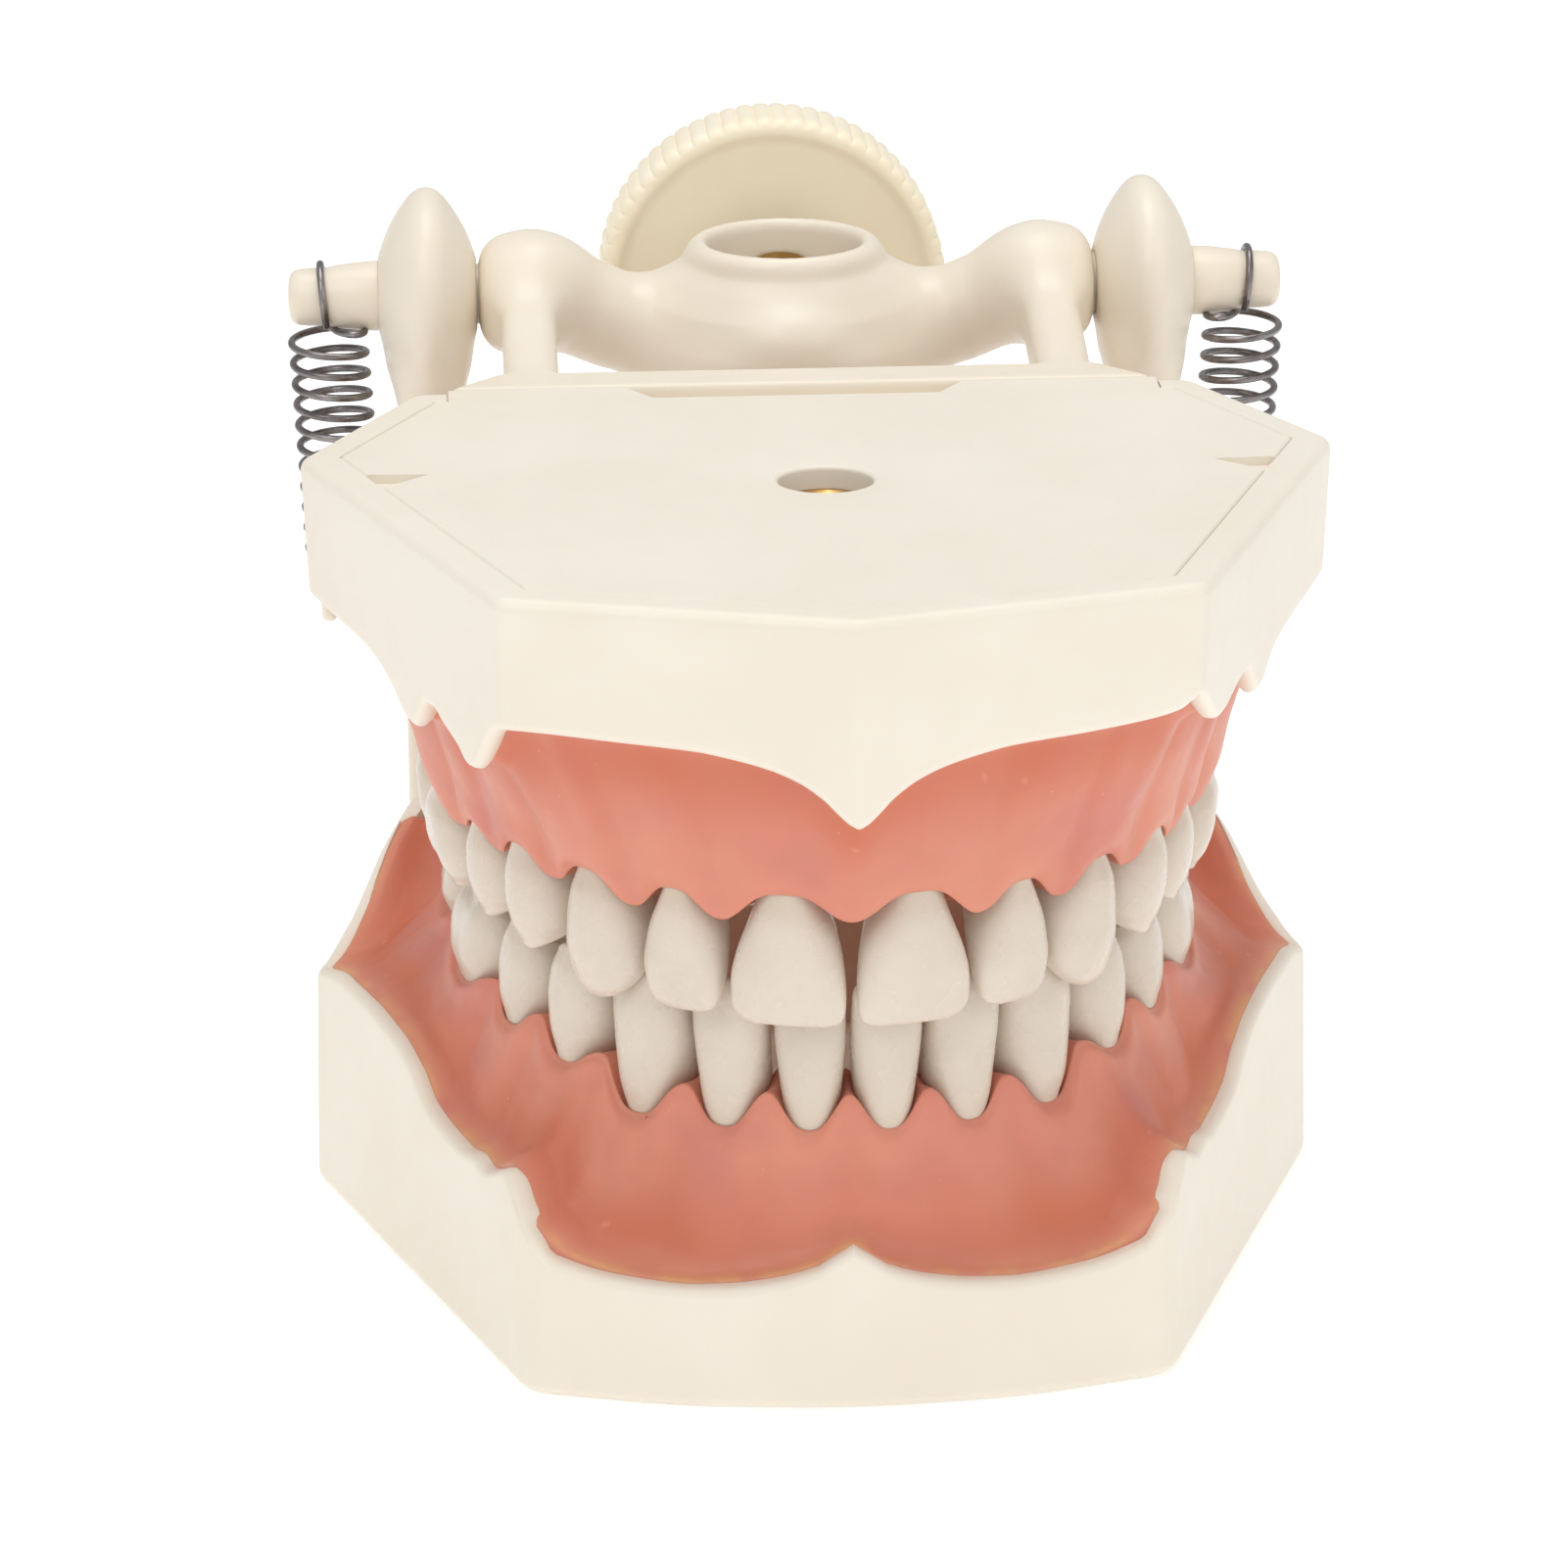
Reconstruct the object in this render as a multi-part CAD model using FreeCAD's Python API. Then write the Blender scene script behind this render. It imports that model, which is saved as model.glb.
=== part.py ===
import FreeCAD, Part
import math
import os

# A typodont: two jaws of screw-in teeth on a spring-held articulator.
# Millimetres, +Z up, -Y is the front of the mouth, +X its left.
# The origin is the mouth of the fixing hole under the lower jaw.

V = FreeCAD.Vector
X_AXIS = V(1, 0, 0)
Y_AXIS = V(0, 1, 0)
Z_AXIS = V(0, 0, 1)

# Jaw bases: one side of each plan outline, from the front centre to the rear corner.
UPPER_PLAN = [(0.0, -37.2), (25.5, -29.7), (39.9, 8.3), (31.3, 27.3)]
LOWER_PLAN = [(0.0, -30.8), (12.8, -29.6), (24.5, -26.1), (40.6, 18.0), (32.0, 30.0)]
TOP_Z = 63.7
PLATE_T = 3.0
LOWER_FLOOR_Z = 9.0
UPPER_FLOOR_Z = 55.0
WALL_DRAFT = 0.6
RIM_T = 2.4
PLATE_INSET = 2.9
EDGE_R = 1.0
CORNER_OVERRUN = 2.0
LOWER_RIM_LIMIT_Z = 31.0
UPPER_RIM_LIMIT_Z = 46.5
CUT_MARGIN = 1.0

# Rim heights, as (share of the wall from its front end, height).
LOWER_FRONT_RIM = [(0.0, 12.7), (0.15, 11.3), (0.4, 10.3), (0.7, 9.8), (1.0, 9.6)]
LOWER_SHOULDER_RIM = [(0.0, 9.6), (0.4, 9.8), (0.8, 10.4), (1.0, 11.0)]
LOWER_SIDE_RIM = [(0.0, 11.0), (0.05, 13.2), (0.12, 15.6), (0.2, 14.8), (0.38, 14.9), (0.55, 17.6), (0.8, 19.3),
                  (1.0, 18.2)]
LOWER_HEEL_RIM = [(0.0, 18.2), (0.5, 25.0), (1.0, 29.5)]
LOWER_REAR_RIM = [(0.0, 18.5), (0.4, 19.0), (0.7, 22.0), (0.88, 27.5), (1.0, 29.5)]
UPPER_FRONT_RIM = [(0.0, 47.9), (0.07, 48.9), (0.18, 50.9), (0.36, 52.4), (0.6, 53.0), (1.0, 53.5)]
UPPER_SIDE_RIM = [(0.0, 53.5), (0.09, 51.5), (0.18, 48.7), (0.3, 50.2), (0.37, 51.2), (0.46, 48.5), (0.6, 50.4),
                  (0.72, 51.8), (1.0, 52.4)]
UPPER_HEEL_RIM = [(0.0, 52.4), (0.5, 51.0), (1.0, 50.0)]
UPPER_REAR_RIM = [(0.0, 52.5), (0.6, 52.2), (0.85, 51.0), (1.0, 50.0)]

# Dental arches: half-ellipses through the middle of the crowns.
UPPER_ARCH = {"half_width": 26.8, "length": 40.6, "centre_y": 14.0}
LOWER_ARCH = {"half_width": 25.2, "length": 36.4, "centre_y": 13.0}
LOWER_GUM_Z = 21.5
UPPER_GUM_Z = 40.0
# Gums: (arch angle, height at the wall) at each wall corner, and depths of the crest outside and inside the arch.
LOWER_GUM_STATIONS = [(0.0, 11.0), (0.35, 10.0), (0.72, 12.0), (1.45, 17.0), (1.72, 20.0)]
UPPER_GUM_STATIONS = [(0.0, 50.0), (0.66, 53.0), (1.4, 52.4), (1.66, 51.0)]
LOWER_GUM_DEPTHS = (4.4, 4.6)
UPPER_GUM_DEPTHS = (4.6, 4.8)
PALATE_Z = 49.0
PALATE_INSET = 4.0
PALATE_END_ANGLE = 1.62
PALATE_STEPS = 18
ROOT_LENGTH_IN_CROWN = 1.0
TOOTH_GAP = 0.2
CONTACT_RELIEF = 0.2

# Teeth: name, width along the arch, depth across it, tip height, tip depth share, squareness.
UPPER_TEETH = [
    ("central_incisor", 8.6, 6.6, 30.4, 0.3, 2.6),
    ("lateral_incisor", 6.8, 6.0, 30.8, 0.3, 2.6),
    ("canine", 7.6, 7.4, 31.6, 0.42, 2.2),
    ("first_premolar", 7.0, 8.6, 31.6, 0.8, 2.6),
    ("second_premolar", 6.8, 8.6, 31.6, 0.8, 2.6),
    ("first_molar", 10.2, 10.2, 31.6, 0.84, 3.2),
    ("second_molar", 9.6, 10.0, 31.6, 0.84, 3.2),
]
LOWER_TEETH = [
    ("central_incisor", 5.4, 5.6, 31.6, 0.3, 2.6),
    ("lateral_incisor", 5.9, 5.8, 31.6, 0.3, 2.6),
    ("canine", 6.9, 7.0, 31.2, 0.42, 2.2),
    ("first_premolar", 7.0, 7.6, 31.2, 0.78, 2.4),
    ("second_premolar", 7.1, 8.2, 31.2, 0.8, 2.6),
    ("first_molar", 11.0, 9.8, 31.2, 0.84, 3.2),
    ("second_molar", 10.4, 9.6, 31.2, 0.84, 3.2),
]
ROOT_R_SHARE = 0.32
ROOT_R_MAX = 2.4
CROWN_LEVELS = [(0.0, 0.80, 0.82), (0.30, 0.95, 1.0), (0.70, 1.0, 0.0), (1.0, 0.94, 0.0)]
ARCH_STEPS = 400

# Tooth screws.
SCREW_R = 0.8
SCREW_CLEARANCE_R = 1.0
SCREW_HEAD_R = 1.5
SCREW_HEAD_T = 1.2
SCREW_HEAD_PLAY = 0.1
SCREW_GRIP = 3.5
SCREW_END_PLAY = 0.3

# Fixing hole and threaded insert of each jaw.
FIXING_R = 3.65
INSERT_R = 4.4
INSERT_THREAD_R = 2.5

# Articulator.
HINGE_Y = 51.0
HINGE_Z = 66.0
EAR_X = 30.0
EAR_R = 9.2
EAR_HALF_T = 4.3
EAR_RIM_HALF_T = 1.6
EAR_FACE_R = 3.5
POST_W = 5.0
POST_D = 11.0
POST_FOOT_Y = 38.0
POST_HEAD_Z = 60.5
PIN_R = 2.5
PIN_CLEARANCE = 0.05
PIN_INNER_X = 21.0
PIN_SHOULDER_X = 34.5
PIN_END_X = 41.6
STUB_R = 2.85
STUB_END_R = 2.2
SLIT = 0.35
COLLAR_R = 4.6
SHOULDER_X = 20.4
SHOULDER_R = 4.9
CROSS_R = 3.9
CROSS_PATH = [(0.0, 53.0, 62.9), (9.0, 53.0, 62.9), (13.0, 52.8, 63.2), (16.5, 52.0, 64.4), (20.4, 51.0, 66.0)]
LEG_X = 21.4
LEG_HALF_W = 2.1
LEG_HALF_H = 3.2
LEG_START_Y = 30.0
BRACKET_REAR_Y = 33.0
BRACKET_FRONT_X = 28.6
BRACKET_REAR_X = 24.0
BRACKET_T = 5.0
BRACKET_GAP = 0.3
LOWER_BRACKET_Y = 45.0
LOWER_BRACKET_X = 33.0

# Rod boss and its clamp.
BOSS_Y = 53.0
BOSS_TOP_Z = 69.6
BOSS_BOTTOM_Z = 54.4
ROD_R = 6.5
BOSS_PROFILE = [(7.9, 69.6), (8.6, 68.4), (9.3, 65.0), (10.4, 62.0), (10.4, 57.0), (9.4, 54.4)]
CLAMP_Z = 61.3
BARREL_R = 7.2
BARREL_END_Y = 64.5
THREAD_R = 4.0
THREAD_CLEARANCE = 0.06
NUT_R = 5.6
NUT_START_Y = 61.0
PAD_R = 3.4
PAD_START_Y = 59.8
PAD_T = 1.6
PAD_SOCKET_R = 1.6
PAD_SOCKET_T = 1.0
PAD_PLAY = 0.1
TIP_R = 1.5
KNOB_FRONT_Y = 69.0
KNOB_T = 7.8
KNOB_R = 15.1
KNOB_DISH = 0.8
KNOB_LIP = 2.5
KNOB_FLUTES = 60
KNOB_FLUTE_R = 0.45
KNOB_CHAMFER = 0.8
SCREW_IN_KNOB = 5.5

# Springs. Each leans slightly inwards from its top to its bottom.
SPRING_TOP_X = 38.4
SPRING_BOTTOM_X = 37.4
SPRING_Y = 49.5
SPRING_COIL_R = 3.2
SPRING_WIRE_R = 0.3
SPRING_PITCH = 1.7
SPRING_TURNS = 11
SPRING_BOTTOM_Z = 44.1
SPRING_STEPS_PER_TURN = 16
SPRING_WIRE_SIDES = 8
HOOK_R = 2.95
HOOK_SPAN = math.radians(320)
HOOK_STEPS = 14
LUG_R = 1.6
LUG_END_X = 39.5
LUG_Z = 41.0
LUG_Y = 48.0
LUG_HEAD_X = 38.2
LUG_HOOK_R = 2.2
LUG_HEAD_R = 2.3

os.makedirs("parts", exist_ok=True)


def save(name, shape):
    shape.exportStep("parts/" + name + ".step")


def mirrored(shape):
    return shape.mirror(V(0, 0, 0), X_AXIS)


def full_outline(half):
    """Both sides of a plan outline, from the right rear corner round the front to the left one."""
    right = [(-x, y) for x, y in reversed(half) if x > 0]
    return right + half


def inset(points, distance):
    """The closed plan polygon moved inwards by distance."""
    count = len(points)
    result = []
    for i in range(count):
        before, here, after = points[i - 1], points[i], points[(i + 1) % count]
        first = edge_line(before, here, distance)
        second = edge_line(here, after, distance)
        result.append(line_crossing(first, second))
    return result


def edge_line(a, b, distance):
    """A point and direction of edge a-b moved to the left of its direction by distance."""
    dx, dy = b[0] - a[0], b[1] - a[1]
    length = math.hypot(dx, dy)
    dx, dy = dx / length, dy / length
    return (a[0] - dy * distance, a[1] + dx * distance, dx, dy)


def line_crossing(first, second):
    ax, ay, ux, uy = first
    bx, by, vx, vy = second
    t = ((bx - ax) * vy - (by - ay) * vx) / (ux * vy - uy * vx)
    return (ax + ux * t, ay + uy * t)


def polygon_wire(points, z):
    corners = [V(x, y, z) for x, y in points]
    return Part.makePolygon(corners + corners[:1])


def prism(points, z0, z1):
    return Part.Face(polygon_wire(points, z0)).extrude(V(0, 0, z1 - z0))


def rod(radius, start, end):
    return Part.makeCylinder(radius, (end - start).Length, start, end - start)


def rim_cutter(a, b, rim, far_z, reach):
    """A block over wall a-b, bounded by the rim's curve on one side and by far_z on the other."""
    along = V(b[0] - a[0], b[1] - a[1], 0)
    curve_points = [V(a[0], a[1], z) + along * share for share, z in rim]
    curve = Part.BSplineCurve()
    curve.interpolate(curve_points)
    overrun = V(along).normalize() * CORNER_OVERRUN
    first, last = curve_points[0], curve_points[-1]
    corners = [last, last + overrun, V(last.x, last.y, far_z) + overrun, V(first.x, first.y, far_z) - overrun,
               first - overrun, first]
    sides = [Part.makeLine(p, q) for p, q in zip(corners, corners[1:])]
    face = Part.Face(Part.Wire([curve.toShape()] + sides))
    outward = V(along.y, -along.x, 0).normalize()
    face.translate(outward * -reach)
    return face.extrude(outward * (2 * reach))


def draft_body(points, z_wide, z_narrow):
    """The plan outline at z_wide, drawn in by the draft at z_narrow."""
    wide = polygon_wire(points, z_wide)
    narrow = polygon_wire(inset(points, WALL_DRAFT), z_narrow)
    return Part.makeLoft([wide, narrow], True, True)


def round_rim_edges(body, z):
    """Round the outline's edges at height z."""
    edges = [e for e in body.Edges if all(abs(v.Z - z) < 1e-6 for v in e.Vertexes)]
    return body.makeFillet(EDGE_R, edges)


def arch_point(arch, angle):
    x = arch["half_width"] * math.sin(angle)
    y = arch["centre_y"] - arch["length"] * math.cos(angle)
    return x, y


def arch_angles(arch, widths):
    """The ellipse angle of each tooth's centre, from the midline, by arc length."""
    targets = []
    reached = 0.0
    for width in widths:
        targets.append(reached + width / 2)
        reached += width + TOOTH_GAP
    angles = []
    length = 0.0
    step = math.pi / 2 / ARCH_STEPS
    previous = arch_point(arch, 0.0)
    for i in range(1, 2 * ARCH_STEPS):
        here = arch_point(arch, i * step)
        length += math.dist(previous, here)
        previous = here
        while len(angles) < len(targets) and length >= targets[len(angles)]:
            angles.append(i * step)
    return angles


def arch_heading(arch, angle):
    """Direction along the arch, in degrees from +X."""
    dx = arch["half_width"] * math.cos(angle)
    dy = arch["length"] * math.sin(angle)
    return math.degrees(math.atan2(dy, dx))


def ring_solid(rings):
    """A closed solid of triangles through rings of equally many corners, flat-capped at both ends."""
    faces = []
    for ring, following in zip(rings, rings[1:]):
        for i in range(len(ring)):
            a, b = ring[i - 1], ring[i]
            c, d = following[i], following[i - 1]
            faces += [triangle(a, b, c), triangle(a, c, d)]
    for cap in (rings[0], rings[-1]):
        faces += [triangle(cap[0], cap[i], cap[i + 1]) for i in range(1, len(cap) - 1)]
    solid = Part.Solid(Part.Shell(faces))
    return solid if solid.Volume > 0 else solid.reversed()


def triangle(a, b, c):
    return Part.Face(Part.makePolygon([a, b, c, a]))


def section_wire(width, depth, power, z, shift_y):
    """A closed superellipse section of a crown."""
    points = []
    for i in range(12):
        t = 2 * math.pi * i / 12
        c, s = math.cos(t), math.sin(t)
        x = width / 2 * math.copysign(abs(c) ** (2 / power), c)
        y = depth / 2 * math.copysign(abs(s) ** (2 / power), s)
        points.append(V(x, y + shift_y, z))
    curve = Part.BSplineCurve()
    curve.interpolate(points, True)
    return Part.Wire([curve.toShape()])


def crown(width, depth, gum_z, tip_z, tip_share, power):
    """A crown from the gum to its tip, flat at both ends, with its face towards -Y."""
    sections = []
    for share, width_share, depth_share in CROWN_LEVELS:
        if depth_share == 0.0:
            depth_share = 1.0 + (tip_share - 1.0) * (share - 0.3) / 0.7
        shift = -(1.0 - depth_share) * depth * 0.25
        z = gum_z + (tip_z - gum_z) * share
        section_width = width * width_share - CONTACT_RELIEF
        sections.append(section_wire(section_width, depth * depth_share, power, z, shift))
    return Part.makeLoft(sections, True, False)


def root_radius(width):
    return min(ROOT_R_MAX, width * ROOT_R_SHARE)


def tooth(spec, gum_z, floor_z):
    """A tooth at the origin of the plan: crown, root peg and the screw hole in the root's end."""
    name, width, depth, tip_z, tip_share, power = spec
    up = 1.0 if tip_z > gum_z else -1.0
    body = crown(width, depth, gum_z, tip_z, tip_share, power)
    root_end = V(0, 0, floor_z)
    root_top = V(0, 0, gum_z + up * ROOT_LENGTH_IN_CROWN)
    body = body.fuse(rod(root_radius(width), root_end, root_top)).removeSplitter()
    return body.cut(rod(SCREW_R, root_end, V(0, 0, floor_z + up * SCREW_GRIP)))


def place(shape, arch, angle):
    """A copy of the shape carried from the plan's origin to its place on the arch."""
    x, y = arch_point(arch, angle)
    copy = shape.copy()
    copy.rotate(V(0, 0, 0), Z_AXIS, arch_heading(arch, angle))
    copy.translate(V(x, y, 0))
    return copy


def build_teeth(jaw, arch, specs, gum_z, floor_z):
    """Write every tooth and return the places of their roots, as (x, y, root radius)."""
    roots = []
    angles = arch_angles(arch, [spec[1] for spec in specs])
    for spec, angle in zip(specs, angles):
        shape = tooth(spec, gum_z, floor_z)
        for side, turn in (("left", angle), ("right", -angle)):
            save(jaw + "_" + side + "_" + spec[0], place(shape, arch, turn))
            x, y = arch_point(arch, turn)
            roots.append((x, y, root_radius(spec[1])))
    return roots


def build_tooth_screws(jaw, roots, head_z, floor_z):
    up = 1.0 if floor_z > head_z else -1.0
    screws = []
    for x, y, _ in roots:
        head_top = V(x, y, head_z + up * SCREW_HEAD_T)
        head = rod(SCREW_HEAD_R, V(x, y, head_z), head_top)
        shank = rod(SCREW_R, head_top, V(x, y, floor_z + up * (SCREW_GRIP - SCREW_END_PLAY)))
        screws.append(head.fuse(shank).removeSplitter())
    save(jaw + "_tooth_screws", Part.makeCompound(screws))


def screw_holes(roots, head_z, floor_z):
    up = 1.0 if floor_z > head_z else -1.0
    holes = []
    for x, y, _ in roots:
        head_top = V(x, y, head_z + up * SCREW_HEAD_T)
        holes.append(rod(SCREW_HEAD_R + SCREW_HEAD_PLAY, V(x, y, head_z), head_top))
        holes.append(rod(SCREW_CLEARANCE_R, head_top, V(x, y, floor_z)))
    return holes


def plate_outline(plan):
    return inset(full_outline(plan), PLATE_INSET)


def bracket_slot(plan, rear_x, z0, z1):
    """The gap in the rear wall that the frame's bracket leaves by."""
    rear_y = plan[-1][1]
    front_y = rear_y - PLATE_INSET - CUT_MARGIN
    return Part.makeBox(2 * rear_x, rear_y - front_y + 2 * CUT_MARGIN, z1 - z0, V(-rear_x, front_y, z0))


def cut_rims(body, plan, rims, far_z):
    outline = full_outline(plan)
    walls = len(plan) - 1
    centre = walls
    cutters = []
    ends = [(outline[centre + i], outline[centre + i + 1]) for i in range(walls)]
    rear_corner = outline[-1]
    ends.append(((0.0, rear_corner[1]), rear_corner))
    for (a, b), rim in zip(ends, rims):
        cutter = rim_cutter(a, b, rim, far_z, RIM_T + WALL_DRAFT + CUT_MARGIN)
        cutters += [cutter, mirrored(cutter)]
    return body.cut(cutters)


def build_base(name, plan, outer_z, rim_limit_z, floor_z, rims, roots):
    """A jaw base: outer walls, a floor that carries the teeth, and a recess for the frame's plate."""
    up = 1.0 if rim_limit_z > outer_z else -1.0
    outline = full_outline(plan)
    body = draft_body(outline, outer_z, rim_limit_z)
    body = round_rim_edges(body, outer_z)
    plate_z = outer_z + up * PLATE_T
    body = body.cut(prism(inset(outline, RIM_T + WALL_DRAFT), floor_z, rim_limit_z + up))
    body = body.cut(prism(plate_outline(plan), outer_z - up, plate_z))
    low, high = sorted((outer_z - up, outer_z + up * BRACKET_T))
    body = body.cut(bracket_slot(plan, BRACKET_FRONT_X, low, high))
    body = cut_rims(body, plan, rims, rim_limit_z + up)
    body = body.cut(screw_holes(roots, plate_z, floor_z))
    body = body.cut(rod(INSERT_R, V(0, 0, plate_z), V(0, 0, floor_z)))
    save(name, body.removeSplitter())
    return plate_z


def build_insert(name, plate_z, floor_z):
    start, end = V(0, 0, plate_z), V(0, 0, floor_z)
    save(name, rod(INSERT_R, start, end).cut(rod(INSERT_THREAD_R, start, end)))


def gum_section(outer, arch, angle, depths, levels):
    """One cross-section of a gum: five corners from the outer wall over the crest to the inner foot."""
    floor_z, rim_z, crest_z = levels
    depth_out, depth_in = depths
    x, y = arch_point(arch, angle)
    heading = math.radians(arch_heading(arch, angle))
    out = (math.sin(heading), -math.cos(heading))
    crest_out = (x + out[0] * depth_out, y + out[1] * depth_out)
    crest_in = (x - out[0] * depth_in, y - out[1] * depth_in)
    return [V(outer[0], outer[1], floor_z), V(outer[0], outer[1], rim_z), V(crest_out[0], crest_out[1], crest_z),
            V(crest_in[0], crest_in[1], crest_z), V(crest_in[0], crest_in[1], floor_z)]


def gum_ridge(stations, arch, depths, floor_z, crest_z):
    """The horseshoe ridge that holds the teeth, lofted through its stations on both sides."""
    right = [(-x, y, -angle, rim_z) for x, y, angle, rim_z in reversed(stations) if angle > 0]
    sections = []
    for x, y, angle, rim_z in right + stations:
        levels = (floor_z, rim_z, crest_z)
        sections.append(gum_section((x, y), arch, angle, depths, levels))
    return ring_solid(sections)


def gum_stations(plan, stations):
    """Stations at each corner of the inner wall, as (x, y, arch angle, height at the wall)."""
    corners = inset(full_outline(plan), RIM_T + WALL_DRAFT)
    half = corners[len(plan) - 1:]
    return [(x, y, angle, z) for (x, y), (angle, z) in zip(half, stations)]


def cut_roots(gum, roots, floor_z, gum_z):
    up = 1.0 if gum_z > floor_z else -1.0
    pegs = [rod(r, V(x, y, floor_z - up), V(x, y, gum_z + up)) for x, y, r in roots]
    return gum.cut(pegs)


def build_lower_gum(roots):
    stations = gum_stations(LOWER_PLAN, LOWER_GUM_STATIONS)
    gum = gum_ridge(stations, LOWER_ARCH, LOWER_GUM_DEPTHS, LOWER_FLOOR_Z, LOWER_GUM_Z)
    save("lower_gum", cut_roots(gum, roots, LOWER_FLOOR_Z, LOWER_GUM_Z))


def palate():
    """The plate of gum that closes the inside of the upper arch."""
    inner = {"half_width": UPPER_ARCH["half_width"] - PALATE_INSET, "length": UPPER_ARCH["length"] - PALATE_INSET,
             "centre_y": UPPER_ARCH["centre_y"]}
    turns = [PALATE_END_ANGLE * (2 * i / PALATE_STEPS - 1) for i in range(PALATE_STEPS + 1)]
    return prism([arch_point(inner, turn) for turn in turns], PALATE_Z, UPPER_FLOOR_Z)


def build_upper_gum(roots):
    stations = gum_stations(UPPER_PLAN, UPPER_GUM_STATIONS)
    ridge = gum_ridge(stations, UPPER_ARCH, UPPER_GUM_DEPTHS, UPPER_FLOOR_Z, UPPER_GUM_Z)
    gum = ridge.fuse(palate()).removeSplitter()
    save("upper_gum", cut_roots(gum, roots, UPPER_FLOOR_Z, UPPER_GUM_Z))


def fixing_plate(plan, z0, z1):
    plate = prism(plate_outline(plan), z0, z1)
    return plate.cut(rod(FIXING_R, V(0, 0, z0), V(0, 0, z1)))


def ear():
    """A lens-shaped upright disc round the hinge axis, on the left."""
    profile = [V(EAR_X - EAR_HALF_T, 0, 0), V(EAR_X - EAR_HALF_T, 0, EAR_FACE_R),
               V(EAR_X - EAR_RIM_HALF_T, 0, EAR_R), V(EAR_X + EAR_RIM_HALF_T, 0, EAR_R),
               V(EAR_X + EAR_HALF_T, 0, EAR_FACE_R), V(EAR_X + EAR_HALF_T, 0, 0)]
    face = Part.Face(Part.makePolygon(profile + profile[:1]))
    disc = face.revolve(V(0, 0, 0), X_AXIS, 360)
    disc.translate(V(0, HINGE_Y, HINGE_Z))
    return disc


def post():
    """The left upright, from the lower bracket to the ear."""
    sections = []
    for y, z in ((POST_FOOT_Y, 0.0), (HINGE_Y, POST_HEAD_Z)):
        left, right = EAR_X - POST_W / 2, EAR_X + POST_W / 2
        front, back = y - POST_D / 2, y + POST_D / 2
        sections.append(polygon_wire([(left, front), (right, front), (right, back), (left, back)], z))
    return Part.makeLoft(sections, True, True)


def lug():
    """The peg on the left post that the spring's lower hook goes round."""
    peg = rod(LUG_R, V(EAR_X, LUG_Y, LUG_Z), V(LUG_HEAD_X, LUG_Y, LUG_Z))
    return peg.fuse(rod(LUG_HEAD_R, V(LUG_HEAD_X, LUG_Y, LUG_Z), V(LUG_END_X, LUG_Y, LUG_Z)))


def centred_box(half_width, y0, y1, z0, z1):
    return Part.makeBox(2 * half_width, y1 - y0, z1 - z0, V(-half_width, y0, z0))


def build_lower_frame():
    rear_y = LOWER_PLAN[-1][1]
    neck = centred_box(BRACKET_FRONT_X, rear_y - PLATE_INSET - BRACKET_GAP, rear_y + CUT_MARGIN, 0.0, PLATE_T)
    bar = centred_box(LOWER_BRACKET_X, rear_y + BRACKET_GAP, LOWER_BRACKET_Y, 0.0, BRACKET_T)
    side = post().fuse([ear(), lug()])
    pin_hole = rod(PIN_R + PIN_CLEARANCE, V(EAR_X - EAR_R, HINGE_Y, HINGE_Z), V(EAR_X + EAR_R, HINGE_Y, HINGE_Z))
    side = side.cut(pin_hole)
    body = fixing_plate(LOWER_PLAN, 0.0, PLATE_T).fuse([neck, bar, side, mirrored(side)])
    save("lower_frame", body.removeSplitter())


def leg():
    """The left arm from the upper bracket back to the shoulder."""
    sections = []
    for y, z in ((LEG_START_Y, TOP_Z - LEG_HALF_H), (HINGE_Y, HINGE_Z)):
        ellipse = Part.Ellipse(V(0, 0, 0), LEG_HALF_H, LEG_HALF_W)
        wire = Part.Wire([ellipse.toShape()])
        wire.rotate(V(0, 0, 0), Y_AXIS, 90)
        wire.rotate(V(0, 0, 0), Z_AXIS, 90)
        wire.translate(V(LEG_X, y, z))
        sections.append(wire)
    return Part.makeLoft(sections, True, True)


def shoulder():
    """The left shoulder, and its collar on the hinge axis."""
    centre = V(SHOULDER_X, HINGE_Y, HINGE_Z)
    collar = rod(COLLAR_R, centre, V(EAR_X - EAR_HALF_T - SLIT, HINGE_Y, HINGE_Z))
    return Part.makeSphere(SHOULDER_R, centre).fuse(collar)


def cross_member():
    """The round bar between the shoulders, dipping to the boss."""
    left = [V(*point) for point in CROSS_PATH]
    right = [V(-p.x, p.y, p.z) for p in reversed(left[1:])]
    curve = Part.BSplineCurve()
    curve.interpolate(right + left)
    path = Part.Wire([curve.toShape()])
    start = curve.value(curve.FirstParameter)
    heading = curve.tangent(curve.FirstParameter)[0]
    section = Part.Wire([Part.Circle(start, heading, CROSS_R).toShape()])
    return path.makePipeShell([section], True, True)


def boss():
    points = [V(0, 0, BOSS_TOP_Z)] + [V(r, 0, z) for r, z in BOSS_PROFILE] + [V(0, 0, BOSS_BOTTOM_Z)]
    solid = Part.Face(Part.makePolygon(points + points[:1])).revolve(V(0, 0, 0), Z_AXIS, 360)
    solid.translate(V(0, BOSS_Y, 0))
    barrel = rod(BARREL_R, V(0, BOSS_Y, CLAMP_Z), V(0, BARREL_END_Y, CLAMP_Z))
    return solid.fuse(barrel)


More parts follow.
